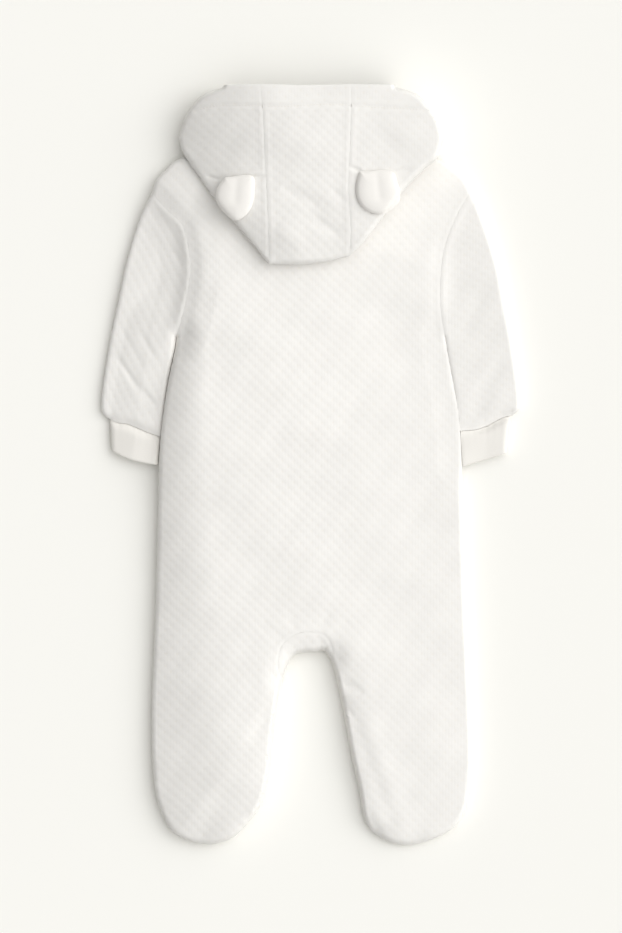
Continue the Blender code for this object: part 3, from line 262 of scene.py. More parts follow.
# The ears: outline from the root, round the tip and back
EAR_LEFT = edge((-74.0, 249.4), (-80.4, 240.0), (-80.8, 229.5), (-74.0, 220.0), (-65.0, 213.8),
                (-56.0, 218.8), (-50.9, 228.0), (-49.6, 239.0), (-51.5, 250.9))
EAR_RIGHT = edge((43.0, 254.6), (40.4, 244.0), (40.6, 234.0), (44.5, 226.0), (51.5, 220.8),
                 (60.0, 219.2), (68.5, 222.0), (75.4, 229.0), (77.0, 236.5), (74.5, 245.0),
                 (69.0, 254.8))
EAR_PINCH_LEFT = edge((-63.5, 251.0), (-65.5, 231.0))
EAR_PINCH_RIGHT = edge((57.0, 256.0), (60.0, 233.0))
EAR_STEP = 0.9              # spacing of points in an ear
EAR_LIFT = 0.6              # between an ear and the hood under it
EAR_LEVEL = 0.7             # how much more level an ear lies than the hood under it
EAR_RIM = 1.7               # its thickness at the edge
EAR_RISE = 2.6              # how much plumper it is in its middle
EAR_ROUND = 10.0            # distance from the edge over which it rises
EAR_PINCH = 0.4             # depth of the pleat that runs in from its root
EAR_PINCH_WIDTH = 3.6

Crease = namedtuple("Crease", "x0 y0 x1 y1 depth width")
# Creases as laid: a trough, or with a negative depth a ridge, from one end to the other
CREASES = (
    # left sleeve
    Crease(-171.0, 96.5, -149.5, 69.0, 0.7, 2.6),
    Crease(-152.0, 72.0, -133.5, 51.5, 0.6, 2.4),
    Crease(-158.0, 77.5, -139.0, 50.5, 0.4, 2.2),
    Crease(-150.0, 117.5, -136.0, 94.0, 0.4, 3.0),
    Crease(-119.0, 187.0, -110.0, 173.0, 0.4, 3.0),
    Crease(-166.0, 120.0, -144.0, 84.0, 0.3, 4.0),
    # right sleeve
    Crease(168.0, 92.0, 138.0, 52.0, 0.6, 6.0),
    Crease(160.0, 64.0, 140.0, 44.0, 0.5, 5.0),
    Crease(150.0, 150.0, 132.0, 110.0, 0.4, 7.0),
    # right leg
    Crease(32.5, -203.5, 52.0, -262.0, 0.5, 6.0),
    Crease(50.0, -255.0, 73.5, -316.5, 0.6, 7.0),
    Crease(43.0, -206.0, 84.0, -314.0, -0.3, 8.0),
    Crease(28.0, -203.5, 36.0, -217.5, 0.8, 2.6),
    Crease(26.0, -186.0, 46.0, -198.0, 0.8, 4.0),
    Crease(49.0, -303.5, 62.0, -323.5, 0.9, 4.0),
    # left leg
    Crease(-57.0, -303.5, -48.5, -312.5, 1.3, 4.0),
    Crease(-36.0, -214.0, -52.0, -240.0, 0.7, 6.0),
    # crotch
    Crease(-24.0, -150.0, -44.0, -138.0, 0.4, 5.0),
    Crease(18.0, -148.0, 34.0, -134.0, 0.35, 5.0),
    Crease(-12.0, -143.0, -20.0, -128.0, 0.25, 4.0),
    Crease(9.0, -143.0, 16.0, -126.0, 0.25, 4.0),
    # armpits
    Crease(-120.0, 100.0, -92.0, 84.0, 0.3, 6.0),
    Crease(-115.0, 116.0, -96.0, 108.0, 0.2, 4.0),
    Crease(120.0, 100.0, 94.0, 82.0, 0.3, 6.0),
)
# Broad soft swells of the back, as lines with a wide reach
SWELLS = (
    Crease(-60.0, 120.0, 40.0, 60.0, -0.7, 26.0),
    Crease(-90.0, -20.0, -20.0, -60.0, -0.6, 24.0),
    Crease(30.0, 10.0, 95.0, -40.0, -0.6, 24.0),
    Crease(-40.0, 30.0, 30.0, 0.0, 0.6, 20.0),
    Crease(60.0, 150.0, 90.0, 60.0, 0.5, 18.0),
    Crease(-95.0, 160.0, -80.0, 60.0, 0.5, 16.0),
    Crease(-90.0, -180.0, -70.0, -290.0, -0.7, 22.0),
    Crease(100.0, -170.0, 108.0, -280.0, -0.6, 20.0),
)
# Creases of the hood's upper layer
HOOD_CREASES = (
    Crease(-26.0, 242.0, 8.0, 226.0, 0.9, 6.0),
    Crease(2.0, 214.0, 26.0, 200.0, 0.9, 5.0),
    Crease(18.0, 240.0, 31.0, 228.0, 0.8, 5.0),
    Crease(-30.0, 206.0, -6.0, 190.0, -0.6, 7.0),
    Crease(-58.0, 300.0, -82.0, 272.0, 0.3, 9.0),
    Crease(52.0, 296.0, 80.0, 270.0, 0.6, 9.0),
    # darts that run from the ears to the seams
    Crease(-53.0, 251.0, -40.0, 251.4, 1.3, 1.4),
    Crease(-55.0, 253.6, -41.0, 254.0, -0.6, 2.0),
    Crease(34.0, 258.5, 44.0, 256.0, 1.3, 1.4),
    Crease(69.0, 254.6, 88.0, 257.5, 1.0, 1.5),
    Crease(-79.0, 248.6, -90.0, 252.0, 1.0, 1.5),
)
SLEEVE_GRAIN_LEFT = -18.0   # degrees that the quilting turns with each sleeve
SLEEVE_GRAIN_RIGHT = 11.0
HOOD_GRAIN = 3.0

Ripple = namedtuple("Ripple", "amount wave angle phase")
# The cloth never lies quite even: gentle ripples in its plane and in its height
PLAN_RIPPLES = (
    Ripple(0.9, 131.0, 25.0, 0.4),
    Ripple(0.6, 83.0, 100.0, 2.1),
    Ripple(0.3, 47.0, 160.0, 4.0),
)
HEIGHT_RIPPLES = (
    Ripple(0.22, 71.0, 35.0, 0.0),
    Ripple(0.18, 53.0, 118.0, 1.3),
    Ripple(0.12, 34.0, 75.0, 2.9),
    Ripple(0.08, 23.0, 150.0, 0.7),
)


# ---------------------------------------------------------------- plan geometry
def smooth_line(points, step=TRACE_STEP):
    """A Catmull-Rom curve through the points, read at an even spacing near step."""
    before = 2.0 * points[0] - points[1]
    after = 2.0 * points[-1] - points[-2]
    ctrl = np.vstack([before, points, after])
    t = np.linspace(0.0, 1.0, 24, endpoint=False)[:, None]
    runs = []
    for i in range(len(points) - 1):
        a, b, c, d = ctrl[i:i + 4]
        runs.append(0.5 * (2.0 * b + (c - a) * t + (2.0 * a - 5.0 * b + 4.0 * c - d) * t ** 2
                           + (3.0 * b - a - 3.0 * c + d) * t ** 3))
    return even_line(np.vstack(runs + [points[-1:]]), step)


def even_line(line, step):
    """The same line with points at an even spacing near step."""
    length = np.concatenate([[0.0], np.cumsum(np.hypot(*np.diff(line, axis=0).T))])
    count = max(2, int(round(length[-1] / step)) + 1)
    even = np.linspace(0.0, length[-1], count)
    return np.column_stack([np.interp(even, length, line[:, k]) for k in (0, 1)])


Lines = namedtuple("Lines", "start run left_start left_end")


def gather(*lines):
    """The segments of some lines, with the direction to the left at both ends of each."""
    parts = []
    for line in lines:
        run = np.diff(line, axis=0)
        left = np.column_stack([-run[:, 1], run[:, 0]]) / np.hypot(*run.T)[:, None]
        corner = np.vstack([left[:1], left[:-1] + left[1:], left[-1:]])
        corner /= np.hypot(*corner.T)[:, None]
        parts.append((line[:-1], run, corner[:-1], corner[1:]))
    return Lines(*(np.vstack(column) for column in zip(*parts)))


def nearest(points, lines, reach):
    """Distance to the nearest line, the foot on it and the direction from foot to point.

    Exact up to reach; a point farther off keeps reach and itself.  A point on a line gets the
    direction to the line's left.
    """
    away = np.full(len(points), float(reach))
    foot, toward = points.copy(), np.zeros_like(points)
    ends = lines.start + lines.run
    low, high = np.minimum(lines.start, ends)[:, 1], np.maximum(lines.start, ends)[:, 1]
    size = (lines.run ** 2).sum(1)
    band = np.floor(points[:, 1] / BAND)
    for row in np.unique(band):
        here = np.where(band == row)[0]
        near = np.where((high > row * BAND - reach) & (low < (row + 1) * BAND + reach))[0]
        if not len(near):
            continue
        gap = points[here][:, None, :] - lines.start[near]
        share = np.clip((gap * lines.run[near]).sum(2) / size[near], 0.0, 1.0)
        gap -= share[..., None] * lines.run[near]
        square = (gap ** 2).sum(2)
        best = square.argmin(1)
        pick = np.arange(len(here)), best
        far = np.sqrt(square[pick])
        keep = far < reach
        here, best, far = here[keep], near[best[keep]], far[keep]
        along = share[pick][keep][:, None]
        gap = gap[pick][keep]
        left = lines.left_start[best] * (1.0 - along) + lines.left_end[best] * along
        left /= np.hypot(*left.T)[:, None]
        on_line = far < 1e-5
        away[here] = np.where(on_line, 0.0, far)
        foot[here] = points[here] - gap
        toward[here] = np.where(on_line[:, None], left, gap / np.maximum(far, 1e-9)[:, None])
    return away, foot, toward


def distance(points, lines, reach=40.0):
    """Distance to the nearest line, up to reach."""
    return nearest(points, lines, reach)[0]


def inside(points, loop):
    """Which points lie inside a closed outline, by counting crossings to its right."""
    a, b = loop, np.roll(loop, -1, axis=0)
    low, high = np.minimum(a, b)[:, 1], np.maximum(a, b)[:, 1]
    rise = np.where(a[:, 1] == b[:, 1], 1.0, b[:, 1] - a[:, 1])
    within = np.zeros(len(points), bool)
    band = np.floor(points[:, 1] / BAND)
    for row in np.unique(band):
        here = np.where(band == row)[0]
        near = (high >= row * BAND) & (low <= (row + 1) * BAND)
        x, y = points[here][:, :1], points[here][:, 1:]
        spans = (a[near, 1] > y) != (b[near, 1] > y)
        cross = a[near, 0] + (y - a[near, 1]) * (b[near, 0] - a[near, 0]) / rise[near]
        within[here] = (spans & (x < cross)).sum(1) % 2 == 1
    return within


def read(table, column, y):
    """A column of a height table, read between its rows and evened out over READ_STEP."""
    rows = sorted(table)
    places, values = [row.y for row in rows], [getattr(row, column) for row in rows]
    return sum(weight * np.interp(y + shift * READ_STEP, places, values)
               for shift, weight in ((-2, 0.11), (-1, 0.22), (0, 0.34), (1, 0.22), (2, 0.11)))


def quarter(depth, radius):
    """Quarter-ellipse rise: 0 at an edge, 1 from radius inwards."""
    return np.sqrt(swell(depth, radius))


def swell(depth, reach):
    """Parabola 1 - (1 - depth / reach)^2: 0 at an edge, level from reach inwards."""
    return 1.0 - (1.0 - np.clip(depth / reach, 0.0, 1.0)) ** 2


def ripple(points, table):
    """Sum of sine waves: amount * sin(2 pi * distance along angle / wave + phase)."""
    total = np.zeros(len(points))
    for row in table:
        turn = math.radians(row.angle)
        along = points[:, 0] * math.cos(turn) + points[:, 1] * math.sin(turn)
        total += row.amount * np.sin(2.0 * math.pi * along / row.wave + row.phase)
    return total


def creased(points, table):
    """Depth of the listed creases: depth * exp(-(off / width)^2), thinning out at the ends."""
    total = np.zeros(len(points))
    for row in table:
        start, run = np.array([row.x0, row.y0]), np.array([row.x1 - row.x0, row.y1 - row.y0])
        gap = points - start
        share = np.clip(gap @ run / (run @ run), 0.0, 1.0)
        off = np.hypot(*(gap - share[:, None] * run).T) / row.width
        total += row.depth * np.exp(-off ** 2) * (1.0 - 0.8 * (2.0 * share - 1.0) ** 4)
    return total


# ---------------------------------------------------------------- lines that heights are read from
LEFT, RIGHT = -1, 1


def pair(left, right):
    """Both sides' versions of a traced line."""
    return {LEFT: smooth_line(left), RIGHT: smooth_line(right)}


SHOULDERS = pair(SHOULDER_LEFT, SHOULDER_RIGHT)
ARMHOLES = pair(ARMHOLE_LEFT, ARMHOLE_RIGHT)
SIDES = pair(np.array([(row.left, row.y) for row in BODY_SECTIONS]),
             np.array([(row.right, row.y) for row in BODY_SECTIONS]))
FEET = pair(FOOT_LEFT, FOOT_RIGHT)
OUTER_SLEEVES = pair(SLEEVE_OUTER_LEFT, SLEEVE_OUTER_RIGHT)
INNER_SLEEVES = pair(SLEEVE_INNER_LEFT, SLEEVE_INNER_RIGHT)
WRISTS = pair(WRIST_LEFT, WRIST_RIGHT)
OUTER_CUFFS = pair(CUFF_OUTER_LEFT, CUFF_OUTER_RIGHT)
INNER_CUFFS = pair(CUFF_INNER_LEFT, CUFF_INNER_RIGHT)
CUFF_ENDS = pair(CUFF_END_LEFT, CUFF_END_RIGHT)
GUSSET_SEAMS = pair(GUSSET_LEFT, GUSSET_RIGHT)
FRONT_NECKS = pair(FRONT_NECK_LEFT, FRONT_NECK_RIGHT)
HOOD_FOLDS = pair(HOOD_FOLD_LEFT, HOOD_FOLD_RIGHT)
HOOD_SLANTS = pair(HOOD_SLANT_LEFT, HOOD_SLANT_RIGHT)
HOOD_SEAMS = pair(HOOD_SEAM_LEFT, HOOD_SEAM_RIGHT)
BRIMS = pair(BRIM_LEFT, BRIM_RIGHT)
NAPES = pair(NAPE_LEFT, NAPE_RIGHT)
NAPE_SEAMS = pair(NAPE_SEAM_LEFT, NAPE_SEAM_RIGHT)
NAPE_CORNERS = pair(NAPE_CORNER_LEFT, NAPE_CORNER_RIGHT)
CHEEK_FOLDS = pair(CHEEK_FOLD_LEFT, CHEEK_FOLD_RIGHT)
CHEEK_BRIMS = pair(CHEEK_BRIM_LEFT, CHEEK_BRIM_RIGHT)
CROTCH_LINE, NECK_LINE, CROWN_LINE = (smooth_line(line) for line in (CROTCH, BACK_NECK,
                                                                     HOOD_CROWN))
# Folded sides of the body and limbs, each with the cloth on its left
SILHOUETTE = gather(
    *(line[LEFT] for line in (SHOULDERS, SIDES, FEET, OUTER_SLEEVES, OUTER_CUFFS)),
    *(line[RIGHT][::-1] for line in (SHOULDERS, SIDES, FEET, OUTER_SLEEVES, OUTER_CUFFS)),
    *(line[LEFT][::-1] for line in (INNER_SLEEVES, INNER_CUFFS)),
    *(line[RIGHT] for line in (INNER_SLEEVES, INNER_CUFFS)), CROTCH_LINE)
HOOD_CHAIN = np.vstack([HOOD_FOLDS[LEFT][:-1], HOOD_SLANTS[LEFT][:-1], CROWN_LINE[:-1],
                        HOOD_SLANTS[RIGHT][:-1], HOOD_FOLDS[RIGHT]])
HOOD_EDGE = gather(HOOD_CHAIN)
ARMHOLE_LINES = gather(*ARMHOLES.values())
WRIST_LINES = gather(*WRISTS.values())
HEM = smooth_line(HEM_LINE, 2.0)
HEM_LINES = gather(HEM)
SHOULDER_LINES = gather(*SHOULDERS.values(), *SIDES.values(), *OUTER_SLEEVES.values())
TOE_POINTS = 16             # of a foot's line, the rest is the inner leg
LEFT_SIDES = gather(SHOULDERS[LEFT], SIDES[LEFT], OUTER_SLEEVES[LEFT])
RIGHT_SIDES = gather(SHOULDERS[RIGHT], SIDES[RIGHT], OUTER_SLEEVES[RIGHT])
LOWER_EDGES = (
    (gather(*(line[:TOE_POINTS] for line in FEET.values())), TOE_WAY),
    (gather(FEET[LEFT][TOE_POINTS - 1:]), LEFT_LEG_WAY),
    (gather(FEET[RIGHT][TOE_POINTS - 1:]), RIGHT_LEG_WAY),
    (gather(CROTCH_LINE), CROTCH_WAY),
)
LEFT_SLEEVE = gather(OUTER_SLEEVES[LEFT], OUTER_CUFFS[LEFT])
LEFT_CONTACT = gather(INNER_SLEEVES[LEFT], INNER_CUFFS[LEFT])
RIGHT_CONTACT = gather(INNER_SLEEVES[RIGHT], INNER_CUFFS[RIGHT])
HOOD_LEFT = gather(smooth_line(np.vstack([HOOD_SIDE_TOP, HOOD_SLANT_LEFT])))
HOOD_RIGHT = gather(HOOD_FOLDS[RIGHT], HOOD_SLANTS[RIGHT])
HOOD_CROWN_LINE = gather(CROWN_LINE)
BACK_LOOP = np.vstack([
    NECK_LINE[:-1], SHOULDERS[RIGHT][:-1], ARMHOLES[RIGHT][:-1], SIDES[RIGHT][:-1],
    FEET[RIGHT][:-1], GUSSET_SEAMS[RIGHT][::-1][:-1], GUSSET_SEAMS[LEFT][::-1][:-1],
    FEET[LEFT][::-1][:-1], SIDES[LEFT][::-1][:-1], ARMHOLES[LEFT][::-1][:-1],
    SHOULDERS[LEFT][::-1][:-1]])


# ---------------------------------------------------------------- heights of the cloth
# Each takes plan points, their depth in from the fold, and how far inside the outer face it is
def rising(points, lines, way):
    """Share of the swell at some points, 0 on the lines and 1 well inside them."""
    depth = distance(points, lines)
    return way.share * quarter(depth, ROUND) + (1.0 - way.share) * swell(depth, way.reach)


def right_share(x):
    """0 along the left side, 1 along the right side, smooth between them."""
    share = np.clip(0.5 + 0.5 * x / MIDDLE_BLEND, 0.0, 1.0)
    return share * share * (3.0 - 2.0 * share)


def halves(table, points, left="left", right="right"):
    """A table's left and right columns, one passing into the other across the middle."""
    x, y = points.T
    share = right_share(x)
    return read(table, left, y) * (1.0 - share) + read(table, right, y) * share


def body_crest(points):
    """How much the body swells above its turn."""
    y = points[:, 1]
    left, right = (distance(points, lines, RIGHT_REACH) for lines in (LEFT_SIDES, RIGHT_SIDES))
    crest = halves(BODY_HEIGHTS, points) * swell(left, read(BODY_HEIGHTS, "reach", y))
    for lines, way in LOWER_EDGES:
        crest = crest * rising(points, lines, way)
    return np.maximum(crest - RIGHT_FALL * (1.0 - swell(right, RIGHT_REACH)), 0.0)


def sleeve_crest(points):
    """How much a sleeve swells above its turn."""
    reach = read(SLEEVE_HEIGHTS, "reach", points[:, 1])
    onward = swell(distance(points, LEFT_SLEEVE, 70.0), reach)
    onward = onward * rising(points, LEFT_CONTACT, SLEEVE_WAY)
    return halves(SLEEVE_HEIGHTS, points) * np.where(points[:, 0] < 0.0, onward, 1.0)


def heights(points, is_body):
    """Side seam height, and how much the cloth stands above it in its turn and in its swell."""
    armhole = distance(points, ARMHOLE_LINES)
    lean = np.clip(armhole / ARMHOLE_BLEND, 0.0, 1.0)
    share = 0.5 + 0.5 * lean * (1.0 if is_body else -1.0)
    side = (share * halves(BODY_HEIGHTS, points, "left_side", "right_side")
            + (1.0 - share) * halves(SLEEVE_HEIGHTS, points, "left_side", "right_side"))
    own, other = body_crest(points), sleeve_crest(points)
    if not is_body:
        own, other = other, own
    mix = 0.5 * np.exp(-(armhole / ARMHOLE_MIX) ** 2)
    crest = own * (1.0 - mix) + other * mix
    seat = 1.0 - np.clip(distance(points, RIGHT_CONTACT) / SEAT_REACH, 0.0, 1.0)
    side = side + RIGHT_SEAT * seat
    turn = TURN * (1.0 - (1.0 - RIGHT_EDGE) * right_share(points[:, 0]))
    turn = turn * (1.0 - (1.0 - RIGHT_TURN) * seat)
    crest = crest * (1.0 - (1.0 - RIGHT_CREST) * seat)
    if not is_body:
        contact = distance(points, LEFT_CONTACT, 60.0)
        lift = 1.0 - np.clip(contact / LEFT_LIFT_REACH, 0.0, 1.0)
        side = side + LEFT_LIFT * lift * lean
        near = (1.0 - np.clip(contact / SEAT_REACH, 0.0, 1.0)) * lean
        keep = (1.0 - (1.0 - SLEEVE_TURN) * lean) * (1.0 - (1.0 - RIGHT_TURN) * near)
        turn = turn * np.where(points[:, 0] < 0.0, keep, 1.0)
        wrist = np.exp(-(distance(points, WRIST_LINES) / WRIST_DIP_WIDTH) ** 2)
        turn, crest = turn * (1.0 - WRIST_DIP * wrist), crest * (1.0 - WRIST_DIP * wrist)
    return side, turn, crest


def upper(points, depth, inner, is_body):
    """The upper layer: it turns over at the side seam and swells to the crown."""
    side, turn, crest = heights(points, is_body)
    over = quarter(depth - inner, ROUND - inner)
    sink = creased(points, CREASES) - ripple(points, HEIGHT_RIPPLES)
    if is_body:
        sink = sink + creased(points, SWELLS)
    return side + (turn - inner + crest - sink) * over


def lower(points, depth, inner, is_body):
    """The lower layer: flat on the surface, rounding up to the side seam."""
    side = heights(points, is_body)[0]
    return inner + (side - inner) * (1.0 - quarter(depth - inner, LOWER_ROUND - inner))


body_upper, body_lower = partial(upper, is_body=True), partial(lower, is_body=True)
sleeve_upper, sleeve_lower = partial(upper, is_body=False), partial(lower, is_body=False)


def hood_fold(points):
    """Height of the hood's folded edge on either side."""
    return halves(HOOD_HEIGHTS, points)


def hood_form(points, depth, inner):
    """The smooth form of the hood's upper layer: a turn at its fold, then a broad swell."""
    fold = hood_fold(points)
    top, reach = (read(HOOD_HEIGHTS, column, points[:, 1]) for column in ("crown", "reach"))
    crest = (top - fold - HOOD_TURN) * swell(distance(points, HOOD_LEFT, 110.0), reach)
    crest = crest * rising(points, HOOD_CROWN_LINE, CROWN_WAY)
    right = distance(points, HOOD_RIGHT, RIGHT_REACH)
    crest = np.maximum(crest - HOOD_FALL * (1.0 - swell(right, RIGHT_REACH)), 0.0)
    over = quarter(depth - inner, ROUND - inner)
    return fold + (HOOD_TURN - inner + crest) * over


def hood_upper(points, depth, inner):
    """The hood's upper layer with its creases."""
    sink = creased(points, HOOD_CREASES) - ripple(points, HEIGHT_RIPPLES)
    return hood_form(points, depth, inner) - sink * quarter(depth - inner, ROUND - inner)


def shoulder_rest(points, inner):
    """What the hood's lower layer lies on: the back, then down over the shoulder edge."""
    side, turn, _ = heights(points, True)
    depth = distance(points, SHOULDER_LINES, 90.0)
    depth = np.where(inside(points, BACK_LOOP), depth, -depth) + DRAPE_MARGIN + inner
    crest = read(BODY_HEIGHTS, "left", points[:, 1])
    over = side + LIE_GAP + (turn + crest) * quarter(depth, ROUND)
    return over * (1.0 - quarter(-depth, DRAPE_DROP))


def hood_under(points, depth, inner):
    """The hood's lower layer on the back, down from the folded edge."""
    fold = hood_fold(points)
    rest = shoulder_rest(points, inner) + inner
    return fold - (fold - rest) * quarter(depth - inner, HOOD_UNDER_ROUND - inner)


def hood_cheek(points, depth, inner):
    """The hood's lower layer past the shoulders, flat on the surface."""
    fold = hood_fold(points)
    return fold - (fold - inner) * quarter(depth - inner, HOOD_UNDER_ROUND - inner)


# ---------------------------------------------------------------- outlines in the pattern plane
# Kinds of edge: straight rim at a seam, round rim at a hem, half of a fold that the next layer
# shares, half of a fold that has its own straight rim, and a bend shared by two layers
CUT, RIM, FOLD, SIDE, JOIN = "sewn", "free", "fold", "side", "join"
Outline = namedtuple("Outline", "loop runs")


def unroll(points, lines, radius):
    """Plan points to the pattern plane: depth d = R * acos(1 - plan depth / R) * 2 / pi."""
    depth, foot, toward = nearest(points, lines, radius + 5.0)
    near = depth < radius
    flat = radius * np.arccos(np.clip(1.0 - depth / radius, -1.0, 1.0)) * 2.0 / math.pi
    return np.where(near[:, None], foot + toward * flat[:, None], points)


def signed_area(loop):
    """Twice the area of a loop, above 0 when it runs counterclockwise."""
    ahead = np.roll(loop, -1, axis=0)
    return np.sum(loop[:, 0] * ahead[:, 1] - loop[:, 1] * ahead[:, 0])


def outline(lines, radius, *edges, step=EDGE_STEP):
    """A closed counterclockwise outline in the pattern plane from pairs of kind and plan line.

    runs gives each line's kind and the places of its points in the loop.
    """
    flat = []
    for kind, line in edges:
        if kind in (FOLD, SIDE):
            flat.append((kind, even_line(line, step)))
        else:
            dense = even_line(line, 0.4)
            laid = unroll(dense, lines, radius)
            laid[[0, -1]] = line[[0, -1]]
            flat.append((kind, even_line(laid, step)))
    here = flat[0][1][-1]
    if not np.isclose(flat[1][1][[0, -1]], here).all(1).any():
        here = flat[0][1][0]
    loop, runs, start = [], [], 0
    for number, (kind, line) in enumerate(flat):
        if number == 0:
            line = line if np.allclose(line[-1], here) else line[::-1]
        elif not np.allclose(line[0], here):
            line = line[::-1]
        here = line[-1]
        loop.append(line[:-1])
        runs.append((kind, np.arange(start, start + len(line))))
        start += len(line) - 1
    loop = np.vstack(loop)
    runs = [(kind, places % start) for kind, places in runs]
    if signed_area(loop) < 0.0:
        loop = loop[::-1]
        runs = [(kind, start - 1 - places[::-1]) for kind, places in runs]
    return Outline(loop, runs)


body_outline = partial(outline, SILHOUETTE, ROUND)
hood_outline = partial(outline, HOOD_EDGE, ROUND)


def closed(loop):
    """The loop with its first point again at the end."""
    return np.vstack([loop, loop[:1]])


def turned(points, angle):
    """Points turned about the origin by an angle in degrees, counterclockwise."""
    turn = math.radians(angle)
    return points @ np.array([[math.cos(turn), math.sin(turn)],
                              [-math.sin(turn), math.cos(turn)]])


PILLOW = 0.35               # share of the quilting's height in the pillows, the rest in the pits
PIT_NARROW = 3.0            # the higher, the narrower the pits
QUILT_LEVEL = 0.7           # height in the quilting that lies on the smooth form
SEAM_KEEP = 0.25            # share of the quilting that is left on a seam
RIGHT_CALM = 0.5            # how much of the quilting is smoothed away towards the right side
CALM_REACH = 110.0          # over this distance from the middle
# This place on the colour ramp also sets how much painted groove shade a plain face gets
PLAIN = 0.6                 # a plain face's place between a pit, 0, and a pillow's top, 1


def diamonds(loop, wide, tall, cuts, grain):
    """Points over the loop that cut each diamond cuts times along both stitched directions.

    Stitched lines run where x / wide + y / tall or y / tall - x / wide is whole.
    """
    flat = turned(loop, -grain)
    rising, falling = (flat[:, 0] / wide + flat[:, 1] / tall, flat[:, 1] / tall - flat[:, 0] / wide)
    i, j = np.meshgrid(
        np.arange(math.floor(rising.min() * cuts), math.ceil(rising.max() * cuts) + 1) / cuts,
        np.arange(math.floor(falling.min() * cuts), math.ceil(falling.max() * cuts) + 1) / cuts,
        indexing="ij")
    grid = np.column_stack([((i - j) * wide / 2.0).ravel(), ((i + j) * tall / 2.0).ravel()])
    grid = turned(grid, grain)
    return grid - uneven(grid)


def uneven(points):
    """How far the pattern is pulled out of line in the plane."""
    return np.column_stack([ripple(points, PLAN_RIPPLES), ripple(points[:, ::-1], PLAN_RIPPLES)])


def puff(flat, wide, tall, grain):
    """Height of the quilting from 0 where stitched lines cross to 1 inside a diamond.

    A shallow pillow, |sin pi u| * |sin pi v| with u and v counting the lines of each direction,
    and a pit at each crossing, where the stitches hold the layers together.
    """
    flat = turned(flat + uneven(flat), -grain)
    rising = flat[:, 0] / wide + flat[:, 1] / tall
    falling = flat[:, 1] / tall - flat[:, 0] / wide
    across, along = np.sin(math.pi * rising) ** 2, np.sin(math.pi * falling) ** 2
    pit = np.exp(-PIT_NARROW * (across + along))
    return PILLOW * np.sqrt(across * along) + (1.0 - PILLOW) * (1.0 - pit)


def triangulate(loop, seeds):
    """Triangles, counterclockwise, over a loop and the seeds inside it."""
    points = np.vstack([loop, seeds])
    ring = list(range(len(loop)))
    result = delaunay_2d_cdt([Vector(p) for p in points.tolist()], [], [ring], 1, 1e-7)
    source = [places[0] for places in result[3]]
    faces = np.array([[source[corner] for corner in face] for face in result[2]])
    a, b, c = (points[faces[:, k]] for k in range(3))
    area = (b[:, 0] - a[:, 0]) * (c[:, 1] - a[:, 1]) - (b[:, 1] - a[:, 1]) * (c[:, 0] - a[:, 0])
    faces[area < 0.0] = faces[area < 0.0][:, ::-1]
    return faces


